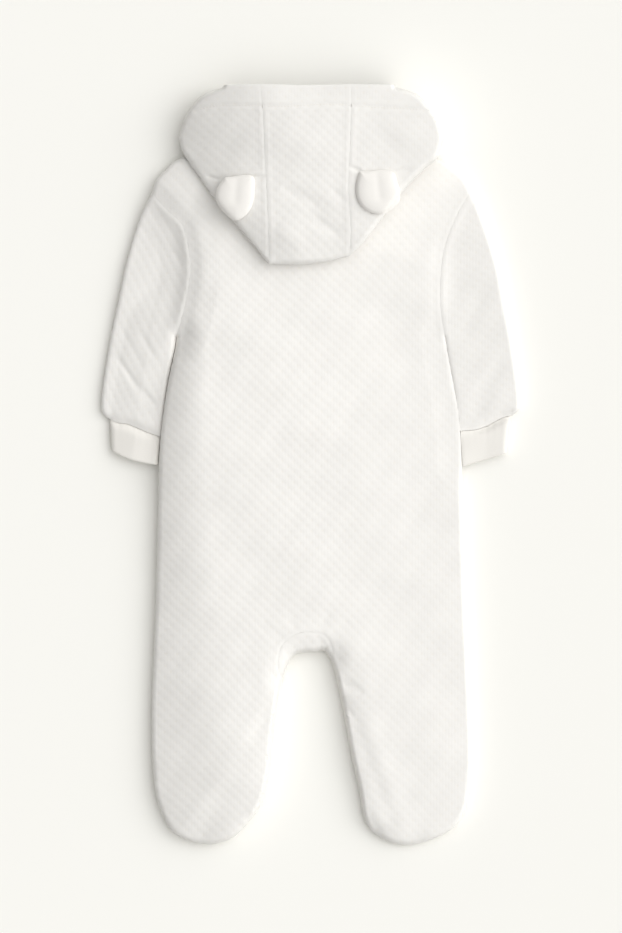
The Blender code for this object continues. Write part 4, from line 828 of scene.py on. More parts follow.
# ---------------------------------------------------------------- cloth
class Cloth:
    """One piece of cloth: a closed wall put together from layers."""

    def __init__(self, name, thickness, lines=SILHOUETTE, radius=ROUND):
        self.name, self.thickness, self.lines, self.radius = name, thickness, lines, radius
        self.points, self.flats, self.faces, self.reliefs, self.puffs = [], [], [], [], []

    def add(self, points, flats, faces, relief=None, puffs=None):
        """Keep some triangles; doubles at shared edges are merged at the end."""
        offset = sum(len(run) for run in self.points)
        self.points.append(points)
        self.flats.append(flats)
        self.faces.append(faces + offset)
        self.reliefs.append(np.zeros(len(points)) if relief is None else relief)
        self.puffs.append(np.full(len(points), PLAIN) if puffs is None else puffs)

    def lay(self, flat, height, inner):
        """Points of the pattern plane laid at height, a distance inner inside the outer face.

        Also gives where they are on the cloth, past the fold as well.
        """
        depth, foot, toward = nearest(flat, self.lines, self.radius + 5.0)
        near = (depth < self.radius)[:, None]
        angle = 0.5 * math.pi * np.clip(depth / self.radius, 0.0, 1.0)
        plan_depth = inner + (self.radius - inner) * (1.0 - np.cos(angle))
        plan = np.where(near, foot + toward * plan_depth[:, None], flat)
        plan_depth = np.where(near[:, 0], plan_depth, depth)
        z = height(plan, plan_depth, inner)
        over = self.radius - (self.radius - depth) * 1.45
        cloth = np.where(near, foot + toward * over[:, None], flat)
        return np.column_stack([plan, z]), cloth, depth

    def layer(self, shape, height, up, seeds, inner_step=INNER_STEP, relief=None):
        """One layer: its outer face, its inner face and the rims along its open edges.

        seeds are the outer face's inner points, and relief(cloth, plan, depth) gives how far
        the outer face stands out and how high its quilting is there.
        """
        loop = shape.loop
        edges = gather(closed(loop))
        sides = []
        for inner in (0.0, self.thickness):
            grid = seeds if inner == 0.0 else square_grid(loop, inner_step)
            room = 0.5 * (EDGE_STEP if inner == 0.0 else 0.6 * inner_step)
            grid = grid[inside(grid, loop)]
            grid = grid[distance(grid, edges, 6.0) > room]
            faces = triangulate(loop, grid)
            points, cloth, depth = self.lay(np.vstack([loop, grid]), height, inner)
            if inner == 0.0 and relief is not None:
                stand, puffs = relief(cloth, points[:, :2], depth)
            else:
                stand, puffs = None, None
            if up == (inner > 0.0):
                faces = faces[:, ::-1]
            self.add(points, cloth, faces, stand, puffs)
            sides.append((points[:len(loop)], cloth[:len(loop)]))
        for kind, places in shape.runs:
            if kind in (CUT, RIM, SIDE):
                self.rim(sides, places, up, kind == RIM, loop)

    def rim(self, sides, places, up, rounded, loop):
        """The edge between the outer and inner face, straight at a seam and round at a hem."""
        (outer, cloth), (inner, _) = sides
        outer, inner, cloth = outer[places], inner[places], cloth[places]
        rows = 4 if rounded else 1
        out = np.zeros((len(places), 3))
        if rounded:
            run = np.gradient(loop[places], axis=0)
            out[:, :2] = np.column_stack([run[:, 1], -run[:, 0]]) / np.hypot(*run.T)[:, None]
        t = np.linspace(0.0, 1.0, rows + 1)[:, None, None]
        bulge = 0.5 * self.thickness * np.sin(math.pi * t) * out
        points = (outer * (1.0 - t) + inner * t + bulge).reshape(-1, 3)
        count = len(places)
        place = np.arange((rows + 1) * count).reshape(rows + 1, count)
        a, b = place[:-1, :-1].ravel(), place[:-1, 1:].ravel()
        c, d = place[1:, 1:].ravel(), place[1:, :-1].ravel()
        faces = np.vstack([np.column_stack([a, d, c]), np.column_stack([a, c, b])])
        self.add(points, np.tile(cloth, (rows + 1, 1)), faces if up else faces[:, ::-1])

    def build(self, material):
        """Merge the doubles, stand the quilting out along the normals and make the object."""
        points, flats = np.vstack(self.points), np.vstack(self.flats)
        corners, stand = np.vstack(self.faces), np.concatenate(self.reliefs)
        puffs = np.concatenate(self.puffs)
        _, first, back = np.unique(np.round(points, MERGE_PLACES), axis=0, return_index=True,
                                   return_inverse=True)
        back = back.ravel()
        faces = back[corners]
        solid = (faces != np.roll(faces, 1, axis=1)).all(1)
        faces, corners = faces[solid], corners[solid]
        points, stand, puffs = points[first], stand[first], puffs[first]
        points = points + normals(points, faces) * stand[:, None]
        return make_object(self.name, points * MM, faces, material, flats[corners] * MM, puffs)


def normals(points, faces):
    """Unit normals of the points, the sum of their faces' normals by area."""
    a, b, c = (points[faces[:, k]] for k in range(3))
    face = np.cross(b - a, c - a)
    total = np.column_stack([
        sum(np.bincount(faces[:, k], face[:, axis], len(points)) for k in range(3))
        for axis in range(3)])
    return total / np.maximum(np.linalg.norm(total, axis=1), 1e-12)[:, None]


def square_grid(loop, step):
    """Points of a plain square grid over the loop."""
    low, high = loop.min(0), loop.max(0)
    x, y = np.meshgrid(np.arange(low[0], high[0], step), np.arange(low[1], high[1], step),
                       indexing="ij")
    return np.column_stack([x.ravel(), y.ravel()])


def make_object(name, points, faces, material, flats=None, puffs=None):
    """A mesh object from arrays of points, in metres, and triangles."""
    mesh = bpy.data.meshes.new(name)
    mesh.vertices.add(len(points))
    mesh.loops.add(faces.size)
    mesh.polygons.add(len(faces))
    mesh.vertices.foreach_set("co", points.astype(np.float32).ravel())
    mesh.loops.foreach_set("vertex_index", faces.astype(np.int32).ravel())
    mesh.polygons.foreach_set("loop_start", np.arange(0, faces.size, 3, dtype=np.int32))
    if flats is not None:
        cloth = mesh.uv_layers.new(name="cloth")
        cloth.data.foreach_set("uv", flats.reshape(-1, 2).astype(np.float32).ravel())
    if puffs is not None:
        # The quilting's height, which the cloth material uses to paint shade into its low places
        attribute = mesh.attributes.new("puff", "FLOAT", "POINT")
        attribute.data.foreach_set("value", puffs.astype(np.float32))
    mesh.update(calc_edges=True)
    mesh.shade_smooth()
    mesh.set_sharp_from_angle(angle=math.radians(60.0))
    mesh.materials.append(material)
    piece = bpy.data.objects.new(name, mesh)
    bpy.context.collection.objects.link(piece)
    return piece


def fade(away, reach):
    """0 at a line, rising smoothly to 1 at reach."""
    share = np.clip(away / reach, 0.0, 1.0)
    return share * share * (3.0 - 2.0 * share)


def seam_form(away):
    """Height beside a seam: sunk along the stitches, a little swollen next to them."""
    sink = SEAM_SINK * np.exp(-(away / SEAM_WIDTH) ** 2)
    return SEAM_SWELL * np.exp(-((away - SEAM_SWELL_AT) / 2.2) ** 2) - sink


def quilted(seams, grain, settings, extra=None):
    """The relief of a quilted outer face, flat along its seams."""
    wide, tall = settings.repeat_wide / MM, settings.repeat_tall / MM
    height = settings.relief / MM

    def relief(cloth, plan, depth):
        away = distance(plan, seams, 12.0) if seams is not None else np.full(len(plan), 12.0)
        high = puff(cloth, wide, tall, grain)
        keep = SEAM_KEEP + (1.0 - SEAM_KEEP) * fade(away, SEAM_FLAT)
        calm = 1.0 - RIGHT_CALM * np.clip(plan[:, 0] / CALM_REACH, 0.0, 1.0)
        stand = height * (high - QUILT_LEVEL) * keep * calm + seam_form(away)
        if extra is not None:
            stand = extra(plan, stand)
        # The quilting's height as handed to the material, which paints its low places a shade
        # darker as painted shade
        shown = np.where(keep < 0.99, PLAIN + (high - PLAIN) * keep, high)
        return stand, np.clip(shown, 0.0, 1.0)

    return relief


# ---------------------------------------------------------------- finishes
def linear(code):
    """An sRGB hex colour as linear red, green and blue."""
    parts = [int(code[k:k + 2], 16) / 255.0 for k in (1, 3, 5)]
    return tuple(p / 12.92 if p <= 0.04045 else ((p + 0.055) / 1.055) ** 2.4 for p in parts)


def add_node(tree, kind, settings=None, inputs=None, links=None):
    """A node with its settings, input values and links from other nodes' outputs."""
    node = tree.nodes.new(kind)
    for name, value in (settings or {}).items():
        setattr(node, name, value)
    for name, value in (inputs or {}).items():
        node.inputs[name].default_value = value
    for name, source in (links or {}).items():
        tree.links.new(source, node.inputs[name])
    return node


def new_material(name):
    """An empty node material with its output and shader joined."""
    material = bpy.data.materials.new(name)
    material.use_nodes = True
    material.node_tree.nodes.clear()
    tree = material.node_tree
    output = add_node(tree, "ShaderNodeOutputMaterial")
    shader = add_node(tree, "ShaderNodeBsdfPrincipled")
    tree.links.new(shader.outputs["BSDF"], output.inputs["Surface"])
    return material, tree, shader


def knit_bump(tree, spacing, depth, fuzz):
    """Rows of knit loops: wales across and courses along the cloth, with a soft fuzz on top.

    The wave textures' bands are one 20th of a unit at scale 1, hence the factor.
    """
    place = add_node(tree, "ShaderNodeUVMap", {"uv_map": "cloth"})
    band = 1.0 / (spacing * MM) / 20.0 * 2.0 * math.pi
    wales = add_node(tree, "ShaderNodeTexWave",
                     {"wave_type": "BANDS", "bands_direction": "X", "wave_profile": "SIN"},
                     {"Scale": band, "Distortion": 0.6, "Detail": 1.0, "Detail Scale": 2.0},
                     {"Vector": place.outputs["UV"]})
    courses = add_node(tree, "ShaderNodeTexWave",
                       {"wave_type": "BANDS", "bands_direction": "Y", "wave_profile": "SIN"},
                       {"Scale": band * 1.25, "Distortion": 0.8, "Detail": 1.0,
                        "Detail Scale": 2.0},
                       {"Vector": place.outputs["UV"]})
    loops = add_node(tree, "ShaderNodeMath", {"operation": "MULTIPLY"}, None,
                     {0: wales.outputs["Fac"], 1: courses.outputs["Fac"]})
    nap = add_node(tree, "ShaderNodeTexNoise", {"noise_dimensions": "3D"},
                   {"Scale": 1.0 / (fuzz * MM), "Detail": 3.0, "Roughness": 0.6},
                   {"Vector": place.outputs["UV"]})
    mixed = add_node(tree, "ShaderNodeMath", {"operation": "MULTIPLY_ADD"}, {1: 0.5},
                     {0: nap.outputs["Fac"], 2: loops.outputs["Value"]})
    bump = add_node(tree, "ShaderNodeBump", None, {"Strength": 0.5, "Distance": depth * MM},
                    {"Height": mixed.outputs["Value"]})
    return bump, nap


def quilted_jersey(colours):
    """Cotton double jersey, brushed and knitted in diamonds over a soft filling.

    It is matt with a short nap, so it scatters light and glows a little at grazing angles; the
    stitched lines and pits are painted a shade darker, painted shade for the shade in those
    hollows.
    """
    material, tree, shader = new_material("Quilted cotton jersey")
    bump, nap = knit_bump(tree, 1.3, 0.16, 0.9)
    high = add_node(tree, "ShaderNodeAttribute", {"attribute_name": "puff"})
    cloud = add_node(tree, "ShaderNodeTexNoise", {"noise_dimensions": "3D"},
                     {"Scale": 18.0, "Detail": 2.0, "Roughness": 0.5},
                     {"Vector": add_node(tree, "ShaderNodeTexCoord").outputs["Object"]})
    # Painted shade: where the quilting is low (puff near 0, at pits and stitched lines) the colour
    # goes to the darker groove colour
    shade = add_node(tree, "ShaderNodeValToRGB", None, None, {"Fac": high.outputs["Fac"]})
    shade.color_ramp.elements[0].color = (*colours.painted_groove_shade, 1.0)
    shade.color_ramp.elements[1].position = 0.62
    shade.color_ramp.elements[1].color = (*colours.cloth, 1.0)
    tint = add_node(tree, "ShaderNodeMapRange", None,
                    {"From Min": 0.3, "From Max": 0.7, "To Min": 0.985, "To Max": 1.01},
                    {"Value": cloud.outputs["Fac"]})
    colour = add_node(tree, "ShaderNodeVectorMath", {"operation": "SCALE"}, None,
                      {0: shade.outputs["Color"], "Scale": tint.outputs["Result"]})
    rough = add_node(tree, "ShaderNodeMapRange", None, {"To Min": 0.82, "To Max": 0.98},
                     {"Value": nap.outputs["Fac"]})
    tree.links.new(colour.outputs["Vector"], shader.inputs["Base Color"])
    tree.links.new(rough.outputs["Result"], shader.inputs["Roughness"])
    tree.links.new(bump.outputs["Normal"], shader.inputs["Normal"])
    shader.inputs["Sheen Weight"].default_value = 0.12
    shader.inputs["Sheen Roughness"].default_value = 0.45
    shader.inputs["Specular IOR Level"].default_value = 0.25
    return material


def plain_jersey(name, colour, spacing):
    """Fine plain cotton jersey, as cuffs and ears are made of: smooth, matt, with a soft nap."""
    material, tree, shader = new_material(name)
    bump, nap = knit_bump(tree, spacing, 0.09, 0.7)
    cloud = add_node(tree, "ShaderNodeMapRange", None,
                     {"From Min": 0.3, "From Max": 0.7, "To Min": 0.975, "To Max": 1.01},
                     {"Value": nap.outputs["Fac"]})
    tone = add_node(tree, "ShaderNodeRGB")
    tone.outputs[0].default_value = (*colour, 1.0)
    mixed = add_node(tree, "ShaderNodeVectorMath", {"operation": "SCALE"}, None,
                     {0: tone.outputs["Color"], "Scale": cloud.outputs["Result"]})
    tree.links.new(mixed.outputs["Vector"], shader.inputs["Base Color"])
    tree.links.new(bump.outputs["Normal"], shader.inputs["Normal"])
    shader.inputs["Roughness"].default_value = 0.88
    shader.inputs["Sheen Weight"].default_value = 0.15
    shader.inputs["Sheen Roughness"].default_value = 0.4
    shader.inputs["Specular IOR Level"].default_value = 0.25
    return material


def spun_thread(colour):
    """Spun polyester sewing thread: pale, with a faint twist across it."""
    material, tree, shader = new_material("Spun sewing thread")
    place = add_node(tree, "ShaderNodeTexCoord")
    twist = add_node(tree, "ShaderNodeTexWave", {"wave_type": "BANDS",
                                                 "bands_direction": "DIAGONAL"},
                     {"Scale": 900.0}, {"Vector": place.outputs["Object"]})
    bump = add_node(tree, "ShaderNodeBump", None, {"Strength": 0.4, "Distance": 0.0001},
                    {"Height": twist.outputs["Fac"]})
    tree.links.new(bump.outputs["Normal"], shader.inputs["Normal"])
    shader.inputs["Base Color"].default_value = (*colour, 1.0)
    shader.inputs["Roughness"].default_value = 0.6
    return material


def paper_ground(colour):
    """Seamless studio paper: even, matt and pale."""
    material, tree, shader = new_material("Studio paper")
    place = add_node(tree, "ShaderNodeTexCoord")
    grain = add_node(tree, "ShaderNodeTexNoise", {"noise_dimensions": "3D"},
                     {"Scale": 600.0, "Detail": 2.0}, {"Vector": place.outputs["Object"]})
    bump = add_node(tree, "ShaderNodeBump", None, {"Strength": 0.05, "Distance": 0.0001},
                    {"Height": grain.outputs["Fac"]})
    tree.links.new(bump.outputs["Normal"], shader.inputs["Normal"])
    shader.inputs["Base Color"].default_value = (*colour, 1.0)
    shader.inputs["Roughness"].default_value = 1.0
    shader.inputs["Specular IOR Level"].default_value = 0.0
    return material


def toward_light(bearing, lean):
    """Direction to a light from its bearing and its lean from straight above."""
    return Vector((math.sin(lean) * math.cos(bearing), math.sin(lean) * math.sin(bearing),
                   math.cos(lean)))


def studio_glow(lights):
    """A world as bright as fill + glow * max(0, direction . toward the light) squared."""
    world = bpy.data.worlds.new("Studio")
    world.use_nodes = True
    tree = world.node_tree
    place = add_node(tree, "ShaderNodeTexCoord")
    facing = add_node(tree, "ShaderNodeVectorMath", {"operation": "DOT_PRODUCT"},
                      {1: toward_light(lights.bearing, lights.lean)},
                      {0: place.outputs["Generated"]})
    lit = add_node(tree, "ShaderNodeMath", {"operation": "MAXIMUM"}, {1: 0.0},
                   {0: facing.outputs["Value"]})
    lobe = add_node(tree, "ShaderNodeMath", {"operation": "POWER"}, {1: 2.0},
                    {0: lit.outputs["Value"]})
    strength = add_node(tree, "ShaderNodeMath", {"operation": "MULTIPLY_ADD"},
                        {1: lights.glow, 2: lights.fill}, {0: lobe.outputs["Value"]})
    shade = tree.nodes["Background"]
    shade.inputs["Color"].default_value = (1.0, 0.998, 0.992, 1.0)
    tree.links.new(strength.outputs["Value"], shade.inputs["Strength"])
    return world


# ---------------------------------------------------------------- settings
class OnesieSizes(bpy.types.PropertyGroup):
    """Sizes of the cloth that a user would change."""

    repeat_wide: FloatProperty(
        name="Diamond width", description="Width of one quilted diamond", default=0.0098,
        min=0.004, max=0.04, unit="LENGTH")
    repeat_tall: FloatProperty(
        name="Diamond height", description="Height of one quilted diamond", default=0.0096,
        min=0.004, max=0.04, unit="LENGTH")
    relief: FloatProperty(
        name="Quilting relief", description="From a crossing up to the middle of a diamond",
        default=0.00030, min=0.0, max=0.004, unit="LENGTH")
    stitch: FloatProperty(
        name="Stitch length", description="Length of one stitch of the hood's hem",
        default=0.0028, min=0.001, max=0.006, unit="LENGTH")


def colour_setting(name, description, code):
    """A colour property with an sRGB hex colour as its default."""
    return FloatVectorProperty(name=name, description=description, subtype="COLOR", size=3,
                               min=0.0, max=1.0, default=linear(code))


class OnesieColours(bpy.types.PropertyGroup):
    """Colours of the cloth, thread and ground."""

    cloth: colour_setting("Cloth", "Quilted jersey", "#F1EFEB")
    # Painted shade: the colour of the quilting's pits and stitched lines, a shade darker than the
    # cloth, standing in for the shade in those hollows
    painted_groove_shade: colour_setting("Stitched line", "Quilted jersey where it is pressed down", "#F0EDE7")
    cuff: colour_setting("Cuffs", "Plain jersey of the cuffs", "#F1EEE8")
    ear: colour_setting("Ears", "Plain jersey of the ears", "#F6F3EE")
    thread: colour_setting("Thread", "Sewing thread", "#EEEAE3")
    ground: colour_setting("Ground", "Paper that the garment lies on", "#F8F7F2")


class OnesieLights(bpy.types.PropertyGroup):
    """The studio light: a broad soft glow from above, leaning to the right."""

    glow: FloatProperty(
        name="Glow", description="Strength of the broad light", default=1.89, min=0.0, max=8.0)
    fill: FloatProperty(
        name="Fill", description="Strength of the even light from all round", default=0.18,
        min=0.0, max=4.0)
    lean: FloatProperty(
        name="Lean", description="How far the glow leans over from straight above",
        default=math.radians(38.0), min=0.0, max=math.radians(90.0), unit="ROTATION")
    key: FloatProperty(
        name="Key light", description="Strength of the more direct light in it", default=0.45,
        min=0.0, max=10.0)
    key_lean: FloatProperty(
        name="Key lean", description="How far the key light leans over from straight above",
        default=math.radians(58.0), min=0.0, max=math.radians(90.0), unit="ROTATION")
    bearing: FloatProperty(
        name="Bearing", description="Where the light comes from, round from +X towards +Y",
        default=math.radians(14.0), min=-math.pi, max=math.pi, unit="ROTATION")


def sizes():
    """The size settings."""
    return bpy.context.scene.onesie_sizes


def colours():
    """The colour settings."""
    return bpy.context.scene.onesie_colours


def finish_of(name):
    """The material of that name, made when it is first asked for."""
    found = bpy.data.materials.get(name)
    if found:
        return found
    makers = {
        "Quilted cotton jersey": lambda: quilted_jersey(colours()),
        "Plain cuff jersey": lambda: plain_jersey("Plain cuff jersey", colours().cuff, 1.0),
        "Plain ear jersey": lambda: plain_jersey("Plain ear jersey", colours().ear, 0.9),
        "Spun sewing thread": lambda: spun_thread(colours().thread),
        "Studio paper": lambda: paper_ground(colours().ground),
    }
    return makers[name]()


def hand_over(piece, node):
    """The piece hangs on the root in its CAD node's place, and that node is hidden."""
    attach(piece, "root")
    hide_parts(node)


# ---------------------------------------------------------------- the pieces
def body_seeds(loop, cuts, grain=0.0):
    """Inner points of a quilted face, in step with its diamonds."""
    return diamonds(loop, sizes().repeat_wide / MM, sizes().repeat_tall / MM, cuts, grain)


class ONESIE_OT_back(bpy.types.Operator):
    """Back, cut in one from the neck to the toes"""

    bl_idname = "onesie.back"
    bl_label = "Back"

    def execute(self, context):
        shape = body_outline(
            (CUT, NECK_LINE), (SIDE, SHOULDERS[RIGHT]), (CUT, ARMHOLES[RIGHT]),
            (SIDE, SIDES[RIGHT]), (SIDE, FEET[RIGHT]), (CUT, GUSSET_SEAMS[RIGHT]),
            (CUT, GUSSET_SEAMS[LEFT]), (SIDE, FEET[LEFT]), (SIDE, SIDES[LEFT]),
            (CUT, ARMHOLES[LEFT]), (SIDE, SHOULDERS[LEFT]))
        seeds = body_seeds(shape.loop, FINE_CUTS)
        hidden = inside(seeds, HOOD_CHAIN) & (distance(seeds, HOOD_EDGE) > COVERED)
        coarse = square_grid(HOOD_CHAIN, INNER_STEP)
        coarse = coarse[inside(coarse, HOOD_CHAIN) & (distance(coarse, HOOD_EDGE) > COVERED)]
        back = Cloth("back_panel_cloth", CLOTH)
        seams = gather(*ARMHOLES.values(), *GUSSET_SEAMS.values())
        back.layer(shape, body_upper, True,
                   np.vstack([seeds[~hidden], coarse]), relief=quilted(seams, 0.0, sizes()))
        piece = back.build(finish_of("Quilted cotton jersey"))
        hand_over(piece, "back_panel")
        return {"FINISHED"}


class ONESIE_OT_fronts(bpy.types.Operator):
    """Left and right front, which meet along the closed centre front"""

    bl_idname = "onesie.fronts"
    bl_label = "Fronts"

    def execute(self, context):
        for side, name in ((LEFT, "front_left"), (RIGHT, "front_right")):
            centre = np.array([GUSSET_SEAMS[LEFT][-1], FRONT_NECKS[side][-1]])
            shape = body_outline(
                (CUT, FRONT_NECKS[side]), (SIDE, SHOULDERS[side]),
                (CUT, ARMHOLES[side]), (SIDE, SIDES[side]), (SIDE, FEET[side]),
                (CUT, GUSSET_SEAMS[side]), (CUT, centre))
            front = Cloth(name + "_cloth", CLOTH)
            front.layer(shape, body_lower, False,
                        body_seeds(shape.loop, SIDE_CUTS), relief=side_quilting(0.0))
            piece = front.build(finish_of("Quilted cotton jersey"))
            hand_over(piece, name)
        return {"FINISHED"}


def side_quilting(grain):
    """The relief of an underside: quilted where it rounds up, smooth where it rests."""
    base = quilted(None, grain, sizes())

    def relief(cloth, plan, depth):
        stand, high = base(cloth, plan, depth)
        keep = 1.0 - fade(depth, ROUND)
        return stand * keep, PLAIN + (high - PLAIN) * keep

    return relief


class ONESIE_OT_gusset(bpy.types.Operator):
    """Crotch gusset, folded round the crotch"""

    bl_idname = "onesie.gusset"
    bl_label = "Crotch gusset"

    def execute(self, context):
        gusset = Cloth("crotch_gusset_cloth", CLOTH)
        shape = body_outline((CUT, GUSSET_SEAMS[LEFT]), (CUT, GUSSET_SEAMS[RIGHT]),
                             (FOLD, CROTCH_LINE))
        seams = gather(*GUSSET_SEAMS.values())
        gusset.layer(shape, body_upper, True,
                     body_seeds(shape.loop, FINE_CUTS), relief=quilted(seams, 0.0, sizes()))
        gusset.layer(shape, body_lower, False,
                     body_seeds(shape.loop, SIDE_CUTS), relief=side_quilting(0.0))
        piece = gusset.build(finish_of("Quilted cotton jersey"))
        hand_over(piece, "crotch_gusset")
        return {"FINISHED"}


class ONESIE_OT_sleeves(bpy.types.Operator):
    """Sleeves, each a tube lying flat"""

    bl_idname = "onesie.sleeves"
    bl_label = "Sleeves"

    def execute(self, context):
        for side, name, grain in ((LEFT, "sleeve_left", SLEEVE_GRAIN_LEFT),
                                  (RIGHT, "sleeve_right", SLEEVE_GRAIN_RIGHT)):
            shape = body_outline((CUT, ARMHOLES[side]), (FOLD, INNER_SLEEVES[side]),
                                 (CUT, WRISTS[side]), (FOLD, OUTER_SLEEVES[side]))
            seams = gather(ARMHOLES[side], WRISTS[side])
            sleeve = Cloth(name + "_cloth", CLOTH)
            sleeve.layer(shape, sleeve_upper, True,
                         body_seeds(shape.loop, FINE_CUTS, grain),
                         relief=quilted(seams, grain, sizes()))
            sleeve.layer(shape, sleeve_lower, False,
                         body_seeds(shape.loop, SIDE_CUTS, grain), relief=side_quilting(grain))
            piece = sleeve.build(finish_of("Quilted cotton jersey"))
            hand_over(piece, name)
        return {"FINISHED"}


class ONESIE_OT_cuffs(bpy.types.Operator):
    """Plain cuffs, each a narrow double tube"""

    bl_idname = "onesie.cuffs"
    bl_label = "Cuffs"

    def execute(self, context):
        for side, name in ((LEFT, "cuff_left"), (RIGHT, "cuff_right")):
            shape = body_outline((CUT, WRISTS[side]), (FOLD, INNER_CUFFS[side]),
                                 (RIM, CUFF_ENDS[side]), (FOLD, OUTER_CUFFS[side]))
            seams = gather(WRISTS[side])
            cuff = Cloth(name + "_cloth", CUFF_CLOTH)
            cuff.layer(shape, sleeve_upper, True,
                       square_grid(shape.loop, EDGE_STEP), inner_step=3.0,
                       relief=lambda cloth, plan, depth: cuff_form(plan, seams))
            cuff.layer(shape, sleeve_lower, False,
                       square_grid(shape.loop, 2.0), inner_step=3.0)
            piece = cuff.build(finish_of("Plain cuff jersey"))
            hand_over(piece, name)
        return {"FINISHED"}


# Gathers of a cuff below its seam, and how it is drawn in along it
GATHER = 0.10
GATHER_TURN = 1.1           # radians of the gathers' wave in a millimetre
GATHER_LENGTH = 9.0
CUFF_SINK = 0.5
CUFF_SINK_WIDTH = 3.0
# The hood's hem: a sunk line of stitches, swollen above and below, and flatter quilting
HEM_SINK = 0.35
HEM_SINK_WIDTH = 1.4
HEM_SWELL = 0.20
HEM_SWELL_AT = 3.6
HEM_SWELL_WIDTH = 2.0
HEM_CALM = 0.5              # how much of the quilting is pressed flat in the hem
HEM_CALM_REACH = 2.0


def cuff_form(plan, seams):
    """A cuff is drawn in along the wrist seam, with soft gathers running down from it."""
    away = distance(plan, seams, 20.0)
    gathers = GATHER * np.sin(plan[:, 0] * GATHER_TURN) * np.exp(-(away / GATHER_LENGTH) ** 2)
    stand = gathers - CUFF_SINK * np.exp(-(away / CUFF_SINK_WIDTH) ** 2)
    return stand, np.full(len(plan), PLAIN)


def hem_form(plan, stand):
    """The hood's hem: quilting pressed flatter in the hem, a sunk line along its stitches."""
    away = distance(plan, HEM_LINES, 25.0)
    line_y = np.interp(plan[:, 0], HEM[:, 0], HEM[:, 1])
    in_hem = np.clip((plan[:, 1] - line_y) / HEM_CALM_REACH, 0.0, 1.0)
    sink = HEM_SINK * np.exp(-(away / HEM_SINK_WIDTH) ** 2)
    raised = HEM_SWELL * np.exp(-((away - HEM_SWELL_AT) / HEM_SWELL_WIDTH) ** 2)
    return stand * (1.0 - HEM_CALM * in_hem) - sink + raised


class ONESIE_OT_hood(bpy.types.Operator):
    """Hood: a middle strip and two sides, folded under along the outline"""

    bl_idname = "onesie.hood"
    bl_label = "Hood"

    def execute(self, context):
        self.centre()
        for side in (LEFT, RIGHT):
            self.side(side)
        return {"FINISHED"}

    def centre(self):
        """The strip from the brim over the crown fold and under to the nape."""
        strip = Cloth("hood_centre_cloth", CLOTH, HOOD_EDGE)
        top = hood_outline((RIM, smooth_line(BRIM_MIDDLE)), (CUT, HOOD_SEAMS[RIGHT]),
                           (FOLD, CROWN_LINE), (CUT, HOOD_SEAMS[LEFT]))
        under = hood_outline((CUT, smooth_line(NAPE_MIDDLE)), (CUT, NAPE_SEAMS[RIGHT]),
                             (FOLD, CROWN_LINE), (CUT, NAPE_SEAMS[LEFT]))
        seams = gather(*HOOD_SEAMS.values())
        strip.layer(top, hood_upper, True, body_seeds(top.loop, FINE_CUTS, HOOD_GRAIN),
                    relief=quilted(seams, HOOD_GRAIN, sizes(), hem_form))
        strip.layer(under, hood_under, False, square_grid(under.loop, 3.0))
        piece = strip.build(finish_of("Quilted cotton jersey"))
        hand_over(piece, "hood_centre")

    def side(self, side):
        """One side: over the top, folded under, then down past the shoulder to the front neck."""
        name = "hood_side_left" if side == LEFT else "hood_side_right"
        fold, slant, corner = HOOD_FOLDS[side], HOOD_SLANTS[side], NAPE_CORNERS[side]
        crease, cheek_brim = CHEEK_FOLDS[side], CHEEK_BRIMS[side]
        cheek_neck = FRONT_NECKS[side] + [0.0, CHEEK_GAP]
        cheek_corner = np.vstack([cheek_neck[0], corner[-1]])
        centre = np.vstack([cheek_neck[-1], cheek_brim[-1]])
        cloth = Cloth(name + "_cloth", CLOTH, HOOD_EDGE)
        top = hood_outline((RIM, BRIMS[side]), (CUT, HOOD_SEAMS[side]), (FOLD, slant),
                           (FOLD, fold))
        under = hood_outline((CUT, NAPE_SEAMS[side]), (CUT, NAPES[side]), (CUT, corner),
                             (JOIN, crease), (FOLD, slant))
        cheek = hood_outline((FOLD, fold), (RIM, cheek_brim), (CUT, centre), (CUT, cheek_neck),
                             (CUT, cheek_corner), (JOIN, crease))
        seams = gather(*HOOD_SEAMS.values())
        cloth.layer(top, hood_upper, True, body_seeds(top.loop, FINE_CUTS, HOOD_GRAIN),
                    relief=quilted(seams, HOOD_GRAIN, sizes(), hem_form))
        cloth.layer(under, hood_under, False, square_grid(under.loop, 2.0))
        cloth.layer(cheek, hood_cheek, False, body_seeds(cheek.loop, SIDE_CUTS),
                    relief=side_quilting(0.0))
        piece = cloth.build(finish_of("Quilted cotton jersey"))
        hand_over(piece, name)


def ear_rest(plan):
    """Just clear of the hood, and level where the ear hangs past its edge."""
    away, foot, _ = nearest(plan, HOOD_EDGE, 90.0)
    within = inside(plan, HOOD_CHAIN)
    on_hood = np.where(within[:, None], plan, foot)
    rest = hood_form(on_hood, np.where(within, away, 0.0), 0.0)
    return rest + (rest.max() - rest) * EAR_LEVEL + EAR_LIFT


